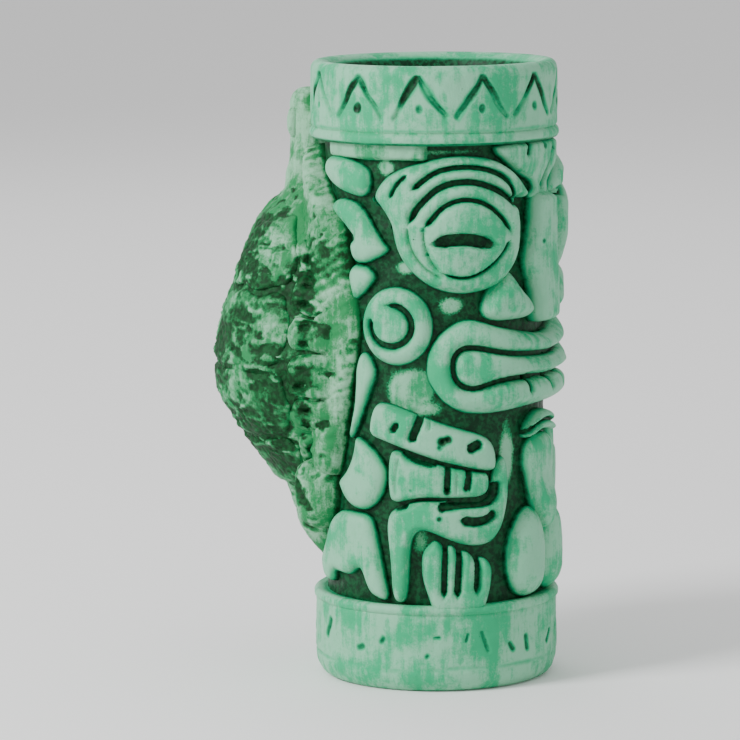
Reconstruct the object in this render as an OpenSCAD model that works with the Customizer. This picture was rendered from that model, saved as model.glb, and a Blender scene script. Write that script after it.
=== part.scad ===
// Tiki mug: a footed ceramic cup with a carved face on the front, a small crouching
// figure low on each side and a turtle on the back that serves as the grip.
// +Z is up, the origin is the centre of the foot and the face looks towards -Y.
// Right and left are the mug's own: its right side is -X.
// Carvings are drawn on the unrolled wall as [angle, height]: the angle in degrees is 0 at the
// middle of the face and grows towards the mug's right, and the height is in millimetres.

/* [Cup] */
// Outer radius of the plain wall between the carvings
wall_r = 33.6; // [33.2:0.1:34.2]
// Inside radius of the cup
bore_r = 30.2; // [29.2:0.1:31]
// Height of the mug from the foot to the crest of the lip
cup_h = 191; // [190:0.5:200]
// Thickness of the cup's floor
floor_t = 8; // [5:0.5:12]
// Radius of the hollow where the inside wall meets the floor
floor_round = 7; // [3:0.5:12]

/* [Rim band] */
// Outer radius of the rim band
rim_r = 38; // [37.4:0.1:38.6]
// Height of the lower edge of the rim band
rim_low = 167; // [166.5:0.1:167.5]
// Height at which the cup wall ends under the lip
wall_top = 181; // [176:0.5:183]
// Radius of the crest of the lip
crest_r = 35.4; // [34:0.1:36.4]
// Number of triangles in the zigzag round the rim
rim_teeth = 12; // [8:1:14]
// Width of the zigzag line
zigzag_w = 1.4; // [0.8:0.1:2]
// Depth of the zigzag line and its dots
zigzag_depth = 0.8; // [0.3:0.1:1.4]

/* [Base band] */
// Outer radius of the base band
base_r = 37.5; // [37:0.1:38]
// Height of the base band
base_h = 27; // [25:0.5:27]
// Number of short strokes round the base band
base_strokes = 14; // [8:1:20]

/* [Face] */
// Radius that the eyes and brows reach
eye_r = 41; // [38:0.1:42.3]
// Radius that the nose reaches
nose_r = 40.6; // [38:0.1:42]
// Radius that the lips reach
lip_r = 40.2; // [38:0.1:41.5]
// Radius that the tongue reaches
tongue_r = 41.2; // [38:0.1:42]
// Radius that the forehead peak reaches
peak_r = 37.4; // [36:0.1:38.5]
// Radius that the ear spools and cheek carvings reach
cheek_r = 37.6; // [36:0.1:39]
// Radius of an ear spool's disc
ear_spool_r = 12; // [10:0.1:12.2]
// Radius of the boss in the middle of an ear spool
ear_boss_r = 5.2; // [4:0.1:6]

/* [Figures] */
// Radius that the side figures reach
figure_r = 38; // [36:0.1:39]
// Radius that the belly and knees at the front reach
knee_r = 39.8; // [37:0.1:41]

/* [Turtle] */
// Distance of the shell's own axis behind the cup's axis
shell_y = 36; // [34:0.5:38]
// Thickness of the plates on the shell
plate_t = 3; // [2:0.1:4]
// Gap between two plates
plate_gap = 1.2; // [0.6:0.1:2]
// Radius of the neck
neck_r = 6.5; // [5:0.1:7.5]
// Distance of the neck behind the cup's axis
neck_y = 43.5; // [42:0.1:45]
// Height of the top of the head
head_top = 181; // [176:0.5:186]

/* [Hidden] */

pale = "#A8C8B0";
mid_green = "#4CAF82";
deep_green = "#14532F";
shell_green = "#4E9F62";

round_fn = 120;
arc_steps = 8;
// Points drawn for each corner of a softened outline
corner_steps = 3;
// Length of every cutting prism, past the furthest carving
reach = 60;
// Radius at which the angles of the outlines are true
mid_r = 37;
// Height of the widest part of the shell
shell_mid = 97;

// Outline with every corner turned into a curve between the middles of its two sides
function soften(p) = [
    for (i = [0:len(p) - 1])
        let (before = (p[(i + len(p) - 1) % len(p)] + p[i]) / 2, after = (p[i] + p[(i + 1) % len(p)]) / 2)
            for (k = [0:corner_steps - 1])
                let (t = (k + 0.5) / corner_steps)
                    (1 - t) * (1 - t) * before + 2 * t * (1 - t) * p[i] + t * t * after
];
// Full outline of a carving that crosses the middle, from the points of its right half
function both_sides(half) = concat(
    half,
    [for (i = [len(half) - 1:-1:0]) if (half[i].x > 0) [-half[i].x, half[i].y]]
);
// Quarter of an ellipse from angle a0 to a1 round the centre c, with half-axes rx and ry
function arc(c, rx, ry, a0, a1) = [
    for (i = [0:arc_steps])
        let (a = a0 + (a1 - a0) * i / arc_steps)
            [c.x + rx * cos(a), c.y + ry * sin(a)]
];
// Straight bar of width w from p to q on the unrolled wall, in angle and height
function bar(p, q, w) =
    let (deg_mm = mid_r * PI / 180, d = [(q.x - p.x) * deg_mm, q.y - p.y], n = [-d.y, d.x] / norm(d) * w / 2)
        let (s = [n.x / deg_mm, n.y])
            [p + s, q + s, q - s, p - s];

// Prism with an unrolled outline, pointing away from the cup's axis in the direction of the angle at
module prism(outline, at) {
    rotate([0, 0, -at])
        rotate([90, 0, 0])
            linear_extrude(reach)
                polygon([for (p = outline) [-mid_r * sin(p.x - at), p.y]]);
}
// Solid between the cup's wall and the radius top, over an unrolled outline
module carving(outline, at, top) {
    difference() {
        intersection() {
            prism(outline, at);
            cylinder(r = top, h = cup_h, $fn = round_fn);
        }
        cylinder(r = wall_r, h = cup_h, $fn = round_fn);
    }
}
// Cutter over an unrolled outline, down to the radius bottom
module cut(outline, at, bottom) {
    difference() {
        prism(outline, at);
        cylinder(r = bottom, h = cup_h, $fn = round_fn);
    }
}
module on_left() {
    mirror([1, 0, 0])
        children();
}

// ---- Cup, rim and base ----

module cup_body() {
    inside = concat(
        [[0, floor_t]],
        arc([bore_r - floor_round, floor_t + floor_round], floor_round, floor_round, -90, 0),
        [[bore_r, wall_top]]
    );
    color(deep_green)
        rotate_extrude($fn = round_fn)
            polygon(concat(inside, [[wall_r, wall_top], [wall_r, 0], [0, 0]]));
}

module rim_band() {
    bead = 0.5;
    bead_h = 4;
    lip_h = 3.5;
    inner_lip_h = 5;
    profile = concat(
        [[wall_r, wall_top], [wall_r, rim_low]],
        arc([rim_r + bead - bead_h / 2, rim_low + bead_h / 2], bead_h / 2, bead_h / 2, -90, 60),
        arc([crest_r, cup_h - lip_h], rim_r - crest_r, lip_h, 0, 90),
        arc([crest_r, cup_h - inner_lip_h], crest_r - bore_r, inner_lip_h, 100, 180),
        [[bore_r, wall_top]]
    );
    pitch = 360 / rim_teeth;
    // Angle of one low point of the zigzag, and the heights that it runs between
    first_low = 27;
    low = rim_low + 8.5;
    high = cup_h - 3.5;
    dot_r = 1.7;
    dot_h = low + 3;
    color(pale)
        difference() {
            rotate_extrude($fn = round_fn)
                polygon(profile);
            for (i = [0:rim_teeth - 1]) {
                a = first_low + i * pitch;
                cut(bar([a, low], [a + pitch / 2, high], zigzag_w), a, rim_r - zigzag_depth);
                cut(bar([a, low], [a - pitch / 2, high], zigzag_w), a, rim_r - zigzag_depth);
                rotate([0, 0, -a - pitch / 2])
                    translate([0, 0, dot_h])
                        rotate([90, 0, 0])
                            translate([0, 0, rim_r - zigzag_depth])
                                cylinder(r = dot_r, h = reach, $fn = 24);
            }
        }
}

module base_band() {
    foot_round = 6;
    bead = 0.6;
    bead_h = 3;
    profile = concat(
        [[wall_r, base_h], [wall_r, 0]],
        arc([wall_r, foot_round], base_r - wall_r, foot_round, -80, 0),
        arc([base_r + bead - bead_h / 2, base_h - bead_h / 2], bead_h / 2, bead_h / 2, -60, 90)
    );
    pitch = 360 / base_strokes;
    stroke_low = 12;
    stroke_high = 18;
    lean = 2;
    color(pale)
        difference() {
            rotate_extrude($fn = round_fn)
                polygon(profile);
            for (i = [0:base_strokes - 1]) {
                a = i * pitch;
                cut(bar([a, stroke_high], [a - lean, stroke_low], zigzag_w), a, base_r - zigzag_depth);
            }
        }
}

// ---- Middle of the face ----

peak_half = [[0, 166], [30, 166], [29, 164.5], [21, 160.5], [12, 157], [7, 155], [7, 151.8], [0, 151.8]];
module forehead_peak() {
    notch_at = 12;
    color(pale)
        difference() {
            carving(soften(both_sides(peak_half)), 0, peak_r);
            for (side = [-1, 1])
                cut(bar([side * notch_at, 162.5], [side * notch_at, 167], 1.8), 0, peak_r - 1.5);
        }
}

nose_half = [
    [0, 151.2], [8.5, 151.2], [10.5, 149.5], [11.5, 145], [13, 138], [17, 131.5],
    [15.5, 128.5], [11, 124], [9, 119], [9, 114], [7, 111.6], [0, 111.2]
];
module nose() {
    color(pale)
        carving(soften(both_sides(nose_half)), 0, nose_r);
}

tongue_half = [
    [0, 101.4], [16, 101.9], [26, 102.4], [35, 103.3], [44, 104.6], [50, 104.9], [54, 102.5], [54.6, 98.8],
    [52.5, 95.4], [48, 94.4], [44, 95], [39.5, 95.8], [30, 96.6], [16, 96.9], [0, 96.2]
];
module tongue() {
    color(pale)
        carving(soften(both_sides(tongue_half)), 0, tongue_r);
}

tooth_line = [[1, 90], [1, 94], [5, 95.2], [12, 95.2], [16.5, 94.6], [16.5, 90]];
module teeth() {
    tooth_back = 1.2;
    color(pale)
        for (side = [0, 1])
            mirror([side, 0, 0])
                carving(soften(tooth_line), 0, lip_r - tooth_back);
}

collar_half = [[0, 83.4], [8, 82.8], [14.5, 80.2], [14.5, 76.6], [8, 78], [0, 78.6]];
module collar() {
    color(mid_green)
        carving(soften(both_sides(collar_half)), 0, figure_r);
}

belly_half = [[0, 77], [10, 76.8], [13, 73], [12.6, 65], [9.5, 58.5], [4.5, 53.5], [1, 47.5], [0, 47.5]];
module belly() {
    color(mid_green)
        carving(soften(both_sides(belly_half)), 0, knee_r - 1);
}

// ---- Eyes and brows ----

eye_at = 55;
brow_outer_line = [
    [97, 151], [95.5, 156], [91, 160.8], [78, 163], [65, 164.2], [53, 164.7], [43, 164.2], [34, 162.2],
    [26.5, 158.4], [18, 153.8], [11.5, 151], [16, 150], [24, 152.6], [30, 155.6], [36.5, 158.4],
    [44, 160.6], [53.5, 161.2], [63.5, 160.5], [70.5, 158.4], [77, 155.4], [86, 153]
];
module brow_outer_right() {
    color(pale)
        carving(soften(brow_outer_line), eye_at, eye_r - 2);
}

brow_inner_line = [
    [96.5, 150.2], [86, 152], [76.5, 154.4], [70.5, 157], [63.5, 159.2], [53.5, 159.9], [44, 159.3],
    [36.5, 157], [30, 154.2], [25, 150.8], [28, 150.3], [34, 153], [40, 155], [46.5, 156], [53, 156.3],
    [61.5, 155.8], [69.5, 153.4], [75, 149.4], [79, 144.6], [86.5, 137.5], [88.5, 142], [92, 146.6]
];
module brow_inner_right() {
    color(pale)
        carving(soften(brow_inner_line), eye_at, eye_r - 1);
}

ring_line = [
    [25.5, 147], [28, 149.8], [33, 151.4], [39, 153.4], [46, 154.5], [53, 154.8], [61.5, 154.3], [69, 152],
    [73.8, 148.4], [77.4, 144], [85.6, 136], [81, 131.6], [76, 128.8], [69, 126], [60, 123.2], [51, 122.3],
    [43, 124.4], [35, 129], [29, 134], [25.8, 138.5], [24.8, 142.5]
];
ring_hole_line = [
    [71.5, 138.8], [70, 143], [66, 146.4], [60, 149.8], [51.5, 151.1], [44, 150.5], [37, 148.6],
    [30.6, 145.2], [28.2, 141.5], [28.4, 137.8], [30.4, 133.4], [36.5, 129.8], [44, 127.2], [50.5, 126.5],
    [58.5, 127.3], [65, 130.1], [70, 134.3]
];
module eye_ring_right() {
    color(pale)
        difference() {
            carving(soften(ring_line), eye_at, eye_r);
            prism(soften(ring_hole_line), eye_at);
        }
}

upper_lid_line = [
    [70, 138.6], [68.5, 142.6], [65, 145.2], [59.5, 148.6], [51.5, 149.8], [44, 149.2], [38, 147.2],
    [32, 143.8], [30, 141], [30.4, 138.2], [35.5, 138.4], [41, 140], [48, 141.2], [56, 141.4], [62, 140.2]
];
module upper_lid_right() {
    color(pale)
        carving(soften(upper_lid_line), eye_at, eye_r);
}

lower_lid_line = [
    [69.8, 137.8], [62, 136.6], [54, 136.8], [46, 135.9], [40, 135.4], [35, 136.2], [30.6, 137.2],
    [32.4, 134], [37.5, 131.2], [44, 128.6], [50.5, 128], [58.5, 128.9], [64.5, 131.6], [68.5, 134.8]
];
module lower_lid_right() {
    color(pale)
        carving(soften(lower_lid_line), eye_at, eye_r - 0.6);
}

temple_line = [
    [132, 157.5], [131, 162.6], [122, 163.4], [111, 162.4], [103, 161], [98.5, 159.4], [97.6, 155.6],
    [99, 152.2], [104, 150.8], [112, 151.6], [121, 152.8], [128, 154.6]
];
module temple_block_right() {
    color(mid_green)
        carving(soften(temple_line), 115, cheek_r);
}

nostril_line = [
    [44, 117.8], [41, 122.2], [35, 126.2], [31, 128.8], [27, 127.4], [21, 122.6], [15, 119.6],
    [12.6, 116.4], [15.6, 113.8], [26, 113.8], [36, 113.8], [42, 114.8]
];
module nostril_right() {
    color(mid_green)
        carving(soften(nostril_line), 28, lip_r);
}

// ---- Mouth ----

lip_at = 38;
lip_line = [
    [70, 100], [69, 105], [64, 109.6], [57, 113], [49, 114.6], [41, 113.4], [34, 112], [25, 110.6],
    [14, 109.2], [-4, 108], [-4, 86], [14, 86], [30, 85.2], [42, 85], [52, 85.6], [61, 88.6], [67, 93.4],
    [69.6, 96.6]
];
mouth_line = [
    [-6, 102.6], [8, 102.8], [17, 103.2], [26, 103.8], [35, 104.9], [44, 106.3], [51, 106.7], [55.6, 104.2],
    [57, 100], [56, 95.6], [51.5, 92.9], [45, 92.4], [39.5, 93.6], [34, 94.8], [26, 95.4], [17.6, 95.4],
    [17.6, 89.4], [8, 89.4], [-6, 89.4]
];
module lip_right() {
    color(mid_green)
        intersection() {
            difference() {
                carving(soften(lip_line), lip_at, lip_r);
                prism(soften(mouth_line), lip_at);
            }
            translate([-reach, -reach, 0])
                cube([reach, 2 * reach, cup_h]);
        }
}

// ---- Ears and cheeks ----

spool_at = 84.5;
spool_z = 112.3;
// Cylinder that points out of the wall at the ear spool's middle
module spool_rod(r) {
    rotate([0, 0, -spool_at])
        translate([0, 0, spool_z])
            rotate([90, 0, 0])
                cylinder(r = r, h = reach, $fn = 64);
}
module ear_spool_right() {
    groove = 2;
    color(pale)
        difference() {
            intersection() {
                spool_rod(ear_spool_r);
                cylinder(r = cheek_r, h = cup_h, $fn = round_fn);
            }
            spool_rod(ear_boss_r + groove);
            cylinder(r = wall_r, h = cup_h, $fn = round_fn);
        }
}
module ear_boss_right() {
    color(mid_green)
        difference() {
            intersection() {
                spool_rod(ear_boss_r);
                cylinder(r = cheek_r, h = cup_h, $fn = round_fn);
            }
            cylinder(r = wall_r, h = cup_h, $fn = round_fn);
        }
}

cheek_fin_line = [
    [126, 146.6], [123.5, 149.6], [117, 150.2], [109, 149.8], [103.5, 147.8], [99.5, 145.2], [95.5, 141.7],
    [91, 138], [87, 135.8], [91, 133.6], [96, 132.2], [101, 130.8], [108, 130.9], [111.4, 134],
    [111.8, 137.2], [108.5, 138.4], [112, 140.2], [116, 142.4], [121, 144.2]
];
module cheek_fin_right() {
    color(mid_green)
        carving(soften(cheek_fin_line), 106, cheek_r);
}

cheek_drop_line = [
    [113, 127.5], [110, 130.3], [104.5, 130.5], [99, 129.7], [95, 126.8], [99.6, 123.2], [104.2, 121],
    [109, 119.4], [111.5, 123]
];
module cheek_drop_right() {
    color(mid_green)
        carving(soften(cheek_drop_line), 102, cheek_r - 0.4);
}

ear_leaf_line = [
    [108, 99], [105.5, 103], [102, 103.9], [98, 102], [95, 97.5], [97.8, 93.5], [101.5, 88], [105.5, 82],
    [110, 77.4], [113.5, 77.2], [111.5, 82], [109, 88], [108.2, 94]
];
module ear_leaf_right() {
    color(pale)
        carving(soften(ear_leaf_line), 104, cheek_r - 0.6);
}

// ---- Figure on each side ----

headband_line = [
    [99, 78.6], [98.2, 84], [95.2, 88.4], [90, 88.6], [80.5, 86.9], [67.5, 83.9], [53.3, 81], [42, 79],
    [36.5, 77], [34, 72.5], [34.6, 67.6], [43.6, 68.4], [53.3, 69.9], [63, 71.4], [72.8, 73.4],
    [82.5, 75.4], [91, 77.2]
];
module headband_right() {
    at = 66;
    depth = 2;
    color(pale)
        difference() {
            carving(soften(headband_line), at, figure_r);
            cut(bar([86.5, 80.4], [82.5, 83.8], 1.6), at, figure_r - depth);
            cut(bar([76.2, 77.6], [73.8, 84.4], 1.8), at, figure_r - depth);
            cut(bar([62.5, 78.4], [59, 78.2], 2.6), at, figure_r - depth);
            cut(bar([50.5, 75.4], [44.5, 77], 2.6), at, figure_r - depth);
        }
}

figure_face_line = [
    [88.6, 60], [88.4, 73.6], [84, 74.6], [78, 72.8], [70, 71.2], [60, 69.6], [50, 68.4], [42, 67.4],
    [38.4, 67.4], [38, 62.4], [41.5, 60], [50, 60], [60, 60], [70, 60.2], [78, 59.4], [85, 58.2]
];
module figure_face_right() {
    at = 62;
    slot_w = 1.6;
    depth = 2;
    color(pale)
        difference() {
            carving(soften(figure_face_line), at, figure_r);
            cut(bar([61.2, 62.6], [61.2, 68], slot_w), at, figure_r - depth);
            cut(bar([50.8, 62.4], [51.4, 67], slot_w), at, figure_r - depth);
        }
}

figure_arm_line = [
    [33, 71.4], [29, 72], [27, 66], [27, 60], [29, 53.6], [32, 49], [37, 45.8], [43.6, 45], [51.3, 45.6],
    [59.2, 47.4], [68, 49.8], [73, 50.2], [76.6, 48], [78, 43], [78.4, 36], [79.6, 28.8], [82, 27.4],
    [85.8, 28], [87.4, 31.5], [87.8, 37], [88.4, 43], [90, 50.5], [88.4, 55.4], [82.5, 57.2], [77.5, 58.4],
    [72, 59.2], [66, 59], [58, 59.2], [48, 59.2], [40, 59.2], [36.6, 61], [36.2, 66]
];
module figure_arm_right() {
    at = 58;
    depth = 2.2;
    color(pale)
        difference() {
            carving(soften(figure_arm_line), at, figure_r);
            cut(bar([63, 57], [40, 57], 1.6), at, figure_r - depth);
            cut(bar([53, 53.4], [38.5, 53.4], 1.6), at, figure_r - depth);
        }
}

figure_hand_line = [
    [71.8, 38], [72, 43], [69, 45.8], [64.2, 46.3], [58.2, 44.6], [53.3, 42.4], [49.4, 42.6], [44.6, 41.4],
    [40.7, 40.4], [37, 38.6], [37.4, 34], [39.2, 29], [42, 27.2], [51.3, 27.2], [61.1, 27.2], [67.5, 27.2],
    [69.8, 30.5], [71.2, 34]
];
module figure_hand_right() {
    at = 55;
    depth = 2.6;
    gap_w = 1.7;
    color(pale)
        difference() {
            carving(soften(figure_hand_line), at, figure_r);
            cut(bar([60.9, 31], [62, 41.5], gap_w), at, figure_r - depth);
            cut(bar([55, 29.6], [54.6, 40.4], gap_w), at, figure_r - depth);
            cut(bar([46, 30.4], [45.8, 39.2], gap_w), at, figure_r - depth);
        }
}

shoulder_drop_line = [
    [109, 78], [101.5, 76], [95.5, 73], [90.4, 69.2], [89.4, 65.6], [92, 60.6], [96.5, 57.2], [102, 55.2],
    [108, 55.2], [114.5, 56.8], [119, 60], [121.5, 63.4], [116, 66], [112, 70], [110, 73.5]
];
module shoulder_drop_right() {
    color(mid_green)
        carving(soften(shoulder_drop_line), 105, cheek_r + 0.4);
}

thigh_line = [
    [128, 50.5], [122, 53.6], [114, 54.6], [104, 54.4], [98, 53.2], [94.6, 47], [92.4, 40], [90.2, 34],
    [88.7, 30.4], [89.8, 27.8], [95, 28.2], [100, 30], [102.8, 33.4], [105.4, 36.8], [109, 36],
    [112, 34.2], [119, 34.2], [126, 34.6], [127.5, 31], [135.5, 31], [140, 37.6], [135, 42.4], [131.5, 46.4]
];
module thigh_right() {
    color(pale)
        carving(soften(thigh_line), 112, cheek_r);
}

knee_line = [
    [1, 38], [2, 46], [7.5, 53], [14.5, 55.4], [21.5, 53], [27.5, 46], [29, 38], [26, 31], [20, 27.6],
    [9, 27.6], [3, 31]
];
module knee_right() {
    color(pale)
        carving(soften(knee_line), 15, knee_r);
}

// ---- Turtle ----

// Height and radius of the shell round its own axis, from the tail end to the neck end
shell_profile = [
    [50, 0], [51, 8], [60, 16], [75, 27], [87, 33.5], [shell_mid, 34.8], [112, 31.6],
    [128, 26.4], [142, 20], [152, 11], [154, 0]
];
// Shell of revolution, grown outwards by the amount out
module shell_solid(out) {
    translate([0, shell_y, 0])
        rotate_extrude($fn = round_fn)
            polygon(concat(
                [[0, shell_profile[0][0] - out]],
                [for (p = shell_profile) if (p[1] > 0) [p[1] + out, p[0]]],
                [[0, shell_profile[len(shell_profile) - 1][0] + out]]
            ));
}
// Wedge round the shell's axis between two angles from straight back, and two heights
module wedge(a0, a1, z0, z1) {
    translate([0, shell_y, z0])
        linear_extrude(z1 - z0)
            polygon(concat([[0, 0]], [for (a = [a0, (a0 + a1) / 2, a1]) [-reach * sin(a), reach * cos(a)]]));
}
// One plate on the shell
module plate(a0, a1, z0, z1) {
    difference() {
        intersection() {
            shell_solid(plate_t);
            wedge(a0, a1, z0, z1 - plate_gap);
        }
        shell_solid(0);
        cylinder(r = wall_r, h = cup_h, $fn = round_fn);
    }
}

module turtle_shell() {
    color(deep_green)
        difference() {
            shell_solid(0);
            cylinder(r = wall_r, h = cup_h, $fn = round_fn);
        }
}

ridge_half_angle = 14;
ridge_steps = [55, 68, 82, 111, 132, 147];
module shell_ridge_plates() {
    color(shell_green)
        for (i = [0:len(ridge_steps) - 2])
            plate(-ridge_half_angle, ridge_half_angle, ridge_steps[i], ridge_steps[i + 1]);
}

side_steps = [60, 75, 97, 121, 141];
// Angle from straight back at which the side plates give way to the edge plates
side_end = 72;
module shell_side_plates_right() {
    start = ridge_half_angle + 2;
    color(shell_green)
        for (i = [0:len(side_steps) - 2])
            plate(start, side_end, side_steps[i], side_steps[i + 1]);
}

edge_steps = [62, 77, 91, 103, 116, 128, 140];
module shell_edge_plates_right() {
    edge_end = 112;
    color(shell_green)
        for (i = [0:len(edge_steps) - 2])
            plate(side_end + 2, edge_end, edge_steps[i], edge_steps[i + 1]);
}

module turtle_head() {
    neck_foot = 140;
    eye_turn = 55;
    eye_size = 2;
    eye_z = 168;
    eye_out = 0.8;
    top = arc([0, head_top - neck_r], neck_r, neck_r, 0, 90);
    color(shell_green)
        difference() {
            translate([0, neck_y, 0])
                union() {
                    rotate_extrude($fn = 48)
                        polygon(concat([[0, neck_foot], [neck_r, neck_foot]], top));
                    for (side = [-1, 1])
                        rotate([0, 0, 180 + side * eye_turn])
                            translate([0, 0, eye_z])
                                rotate([90, 0, 0])
                                    cylinder(r = eye_size, h = neck_r + eye_out, $fn = 24);
                }
            shell_solid(plate_t);
            cylinder(r = wall_r, h = cup_h, $fn = round_fn);
            translate([0, 0, rim_low - 1])
                cylinder(r = rim_r + 0.6, h = cup_h, $fn = round_fn);
        }
}

flipper_line = [
    [124, 62], [124.4, 56], [127.4, 51.6], [133, 48.6], [139.4, 48], [145, 50.4], [148.6, 56], [148.6, 62],
    [144, 66.8], [136, 68.6], [128, 66.8]
];
module turtle_flippers() {
    flipper_r = 43;
    color(shell_green)
        for (side = [0, 1])
            mirror([side, 0, 0])
                difference() {
                    carving(soften(flipper_line), 142, flipper_r);
                    shell_solid(plate_t);
                }
}

tail_half = [[180, 31.5], [177, 34], [170, 45], [163, 54], [163, 60], [180, 60]];
module turtle_tail() {
    tail_r = 39.4;
    tail_flare = 14;
    tail_line = concat(
        tail_half,
        [for (i = [len(tail_half) - 2:-1:1]) [360 - tail_half[i].x, tail_half[i].y]]
    );
    color(shell_green)
        difference() {
            intersection() {
                carving(tail_line, 180, reach);
                translate([0, 0, tail_half[0].y])
                    cylinder(r1 = tail_r, r2 = tail_r + tail_flare, h = 30, $fn = round_fn);
            }
            shell_solid(plate_t);
        }
}

// ---- Left side: the mirror of the right side ----

module temple_block_left() { on_left() temple_block_right(); }
module brow_outer_left() { on_left() brow_outer_right(); }
module brow_inner_left() { on_left() brow_inner_right(); }
module eye_ring_left() { on_left() eye_ring_right(); }
module upper_lid_left() { on_left() upper_lid_right(); }
module lower_lid_left() { on_left() lower_lid_right(); }
module nostril_left() { on_left() nostril_right(); }
module lip_left() { on_left() lip_right(); }
module ear_spool_left() { on_left() ear_spool_right(); }
module ear_boss_left() { on_left() ear_boss_right(); }
module cheek_fin_left() { on_left() cheek_fin_right(); }
module cheek_drop_left() { on_left() cheek_drop_right(); }
module ear_leaf_left() { on_left() ear_leaf_right(); }
module headband_left() { on_left() headband_right(); }
module figure_face_left() { on_left() figure_face_right(); }
module figure_arm_left() { on_left() figure_arm_right(); }
module figure_hand_left() { on_left() figure_hand_right(); }
module shoulder_drop_left() { on_left() shoulder_drop_right(); }
module thigh_left() { on_left() thigh_right(); }
module knee_left() { on_left() knee_right(); }
module shell_side_plates_left() { on_left() shell_side_plates_right(); }
module shell_edge_plates_left() { on_left() shell_edge_plates_right(); }

cup_body();
rim_band();
base_band();
forehead_peak();
nose();
tongue();
teeth();
collar();
belly();
temple_block_right();
temple_block_left();
brow_outer_right();
brow_outer_left();
brow_inner_right();
brow_inner_left();
eye_ring_right();
eye_ring_left();
upper_lid_right();
upper_lid_left();
lower_lid_right();
lower_lid_left();
nostril_right();
nostril_left();
lip_right();
lip_left();
ear_spool_right();
ear_spool_left();
ear_boss_right();
ear_boss_left();
cheek_fin_right();
cheek_fin_left();
cheek_drop_right();
cheek_drop_left();
ear_leaf_right();
ear_leaf_left();
headband_right();
headband_left();
figure_face_right();
figure_face_left();
figure_arm_right();
figure_arm_left();
figure_hand_right();
figure_hand_left();
shoulder_drop_right();
shoulder_drop_left();
thigh_right();
thigh_left();
knee_right();
knee_left();
turtle_shell();
shell_ridge_plates();
shell_side_plates_right();
shell_side_plates_left();
shell_edge_plates_right();
shell_edge_plates_left();
turtle_head();
turtle_flippers();
turtle_tail();
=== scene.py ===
"""Tiki mug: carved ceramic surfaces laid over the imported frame.

Carvings are drawn on the unrolled wall as (angle, height): the angle in degrees is 0 at the middle of the
face and grows towards the mug's own right (-X), and the height is in millimetres above the foot.
"""
import math
from collections import namedtuple

import bmesh
import bpy
import numpy as np
from mathutils import Matrix, Vector, noise
from mathutils.geometry import delaunay_2d_cdt


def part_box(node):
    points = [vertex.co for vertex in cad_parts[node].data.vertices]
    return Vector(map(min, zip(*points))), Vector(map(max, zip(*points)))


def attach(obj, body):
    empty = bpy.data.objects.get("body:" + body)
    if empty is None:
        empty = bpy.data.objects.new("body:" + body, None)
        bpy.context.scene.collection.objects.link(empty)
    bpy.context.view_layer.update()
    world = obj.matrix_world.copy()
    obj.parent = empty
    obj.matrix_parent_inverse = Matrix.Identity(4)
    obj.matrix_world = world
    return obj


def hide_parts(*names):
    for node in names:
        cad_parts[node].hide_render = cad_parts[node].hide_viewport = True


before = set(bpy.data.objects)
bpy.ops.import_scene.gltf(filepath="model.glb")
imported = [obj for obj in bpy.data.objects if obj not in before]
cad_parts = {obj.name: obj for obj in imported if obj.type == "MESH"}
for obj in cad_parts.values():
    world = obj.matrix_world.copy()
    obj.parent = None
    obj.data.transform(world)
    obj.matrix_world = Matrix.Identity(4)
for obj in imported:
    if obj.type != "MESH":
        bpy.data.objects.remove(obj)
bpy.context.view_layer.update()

MM = 0.001

# Sizes of the cup, in millimetres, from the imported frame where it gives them
CUP_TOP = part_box("rim_band")[1].z / MM
WALL_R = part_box("cup_body")[1].x / MM
RIM_R = 38.0
RIM_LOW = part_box("rim_band")[0].z / MM
BASE_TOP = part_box("base_band")[1].z / MM
BASE_R = 37.5
BORE_R = 30.2
FLOOR_T = 8.0
WALL_TOP = 181.4  # the wall ends inside the rim band, which starts a little lower
RIM_START = 181.0
WALL_BACK = 1.4  # how far a carving's back is buried
BACK_STEP = 3.0  # spacing of the points on it
DEG = 0.6458  # millimetres along the wall for each degree, at a radius of 37 mm
GRAIN = 0.5  # spacing of the points on a carved surface
EDGE_ROWS = (0.22, -0.22, 0.6, -0.6)  # how far beside an edge its rows of points run
SHARP_ANGLE = 50  # degrees between faces that are shaded as a sharp edge
SIDES = ((1, "right"), (-1, "left"))  # the mug's own sides, right being -X
WASH_REACH = 3.2  # how far up a carving's side the dark wash and green fringe reach
WASH_FOOT = 0.28  # share of that reach that stays fully dark
DIMPLE_REACH = 1.2  # how far the dark wash spreads round a dimple
PLATE_REACH = 1.0  # how far it reaches on the turtle's plates


# ---- outlines and distances


def soften(points, steps=8):
    """Closed outline with every corner turned into a curve between the middles of its two sides."""
    p = np.array(points, float)
    before = (np.roll(p, 1, 0) + p) / 2
    after = (np.roll(p, -1, 0) + p) / 2
    t = ((np.arange(steps) + 0.5) / steps)[None, :, None]
    curve = (1 - t) ** 2 * before[:, None] + 2 * t * (1 - t) * p[:, None] + t**2 * after[:, None]
    return curve.reshape(-1, 2)


def sharp(points):
    """Outline whose corners stay nearly where they are, because soften() pulls each one in."""
    p = np.array(points, float)
    q = np.roll(p, -1, 0)
    return np.stack([p, (p * 0.5 + q * 0.5)], 1).reshape(-1, 2)


def smooth_path(points, steps=6):
    """Open path with rounded corners that keeps its two ends."""
    p = np.array(points, float)
    if len(p) < 3:
        return p
    mids = (p[:-1] + p[1:]) / 2
    t = (np.arange(steps) / steps)[:, None]
    out = [p[:1]]
    for i in range(1, len(p) - 1):
        out.append((1 - t) ** 2 * mids[i - 1] + 2 * t * (1 - t) * p[i] + t**2 * mids[i])
    out.append(p[-1:])
    return np.concatenate(out)


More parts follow.
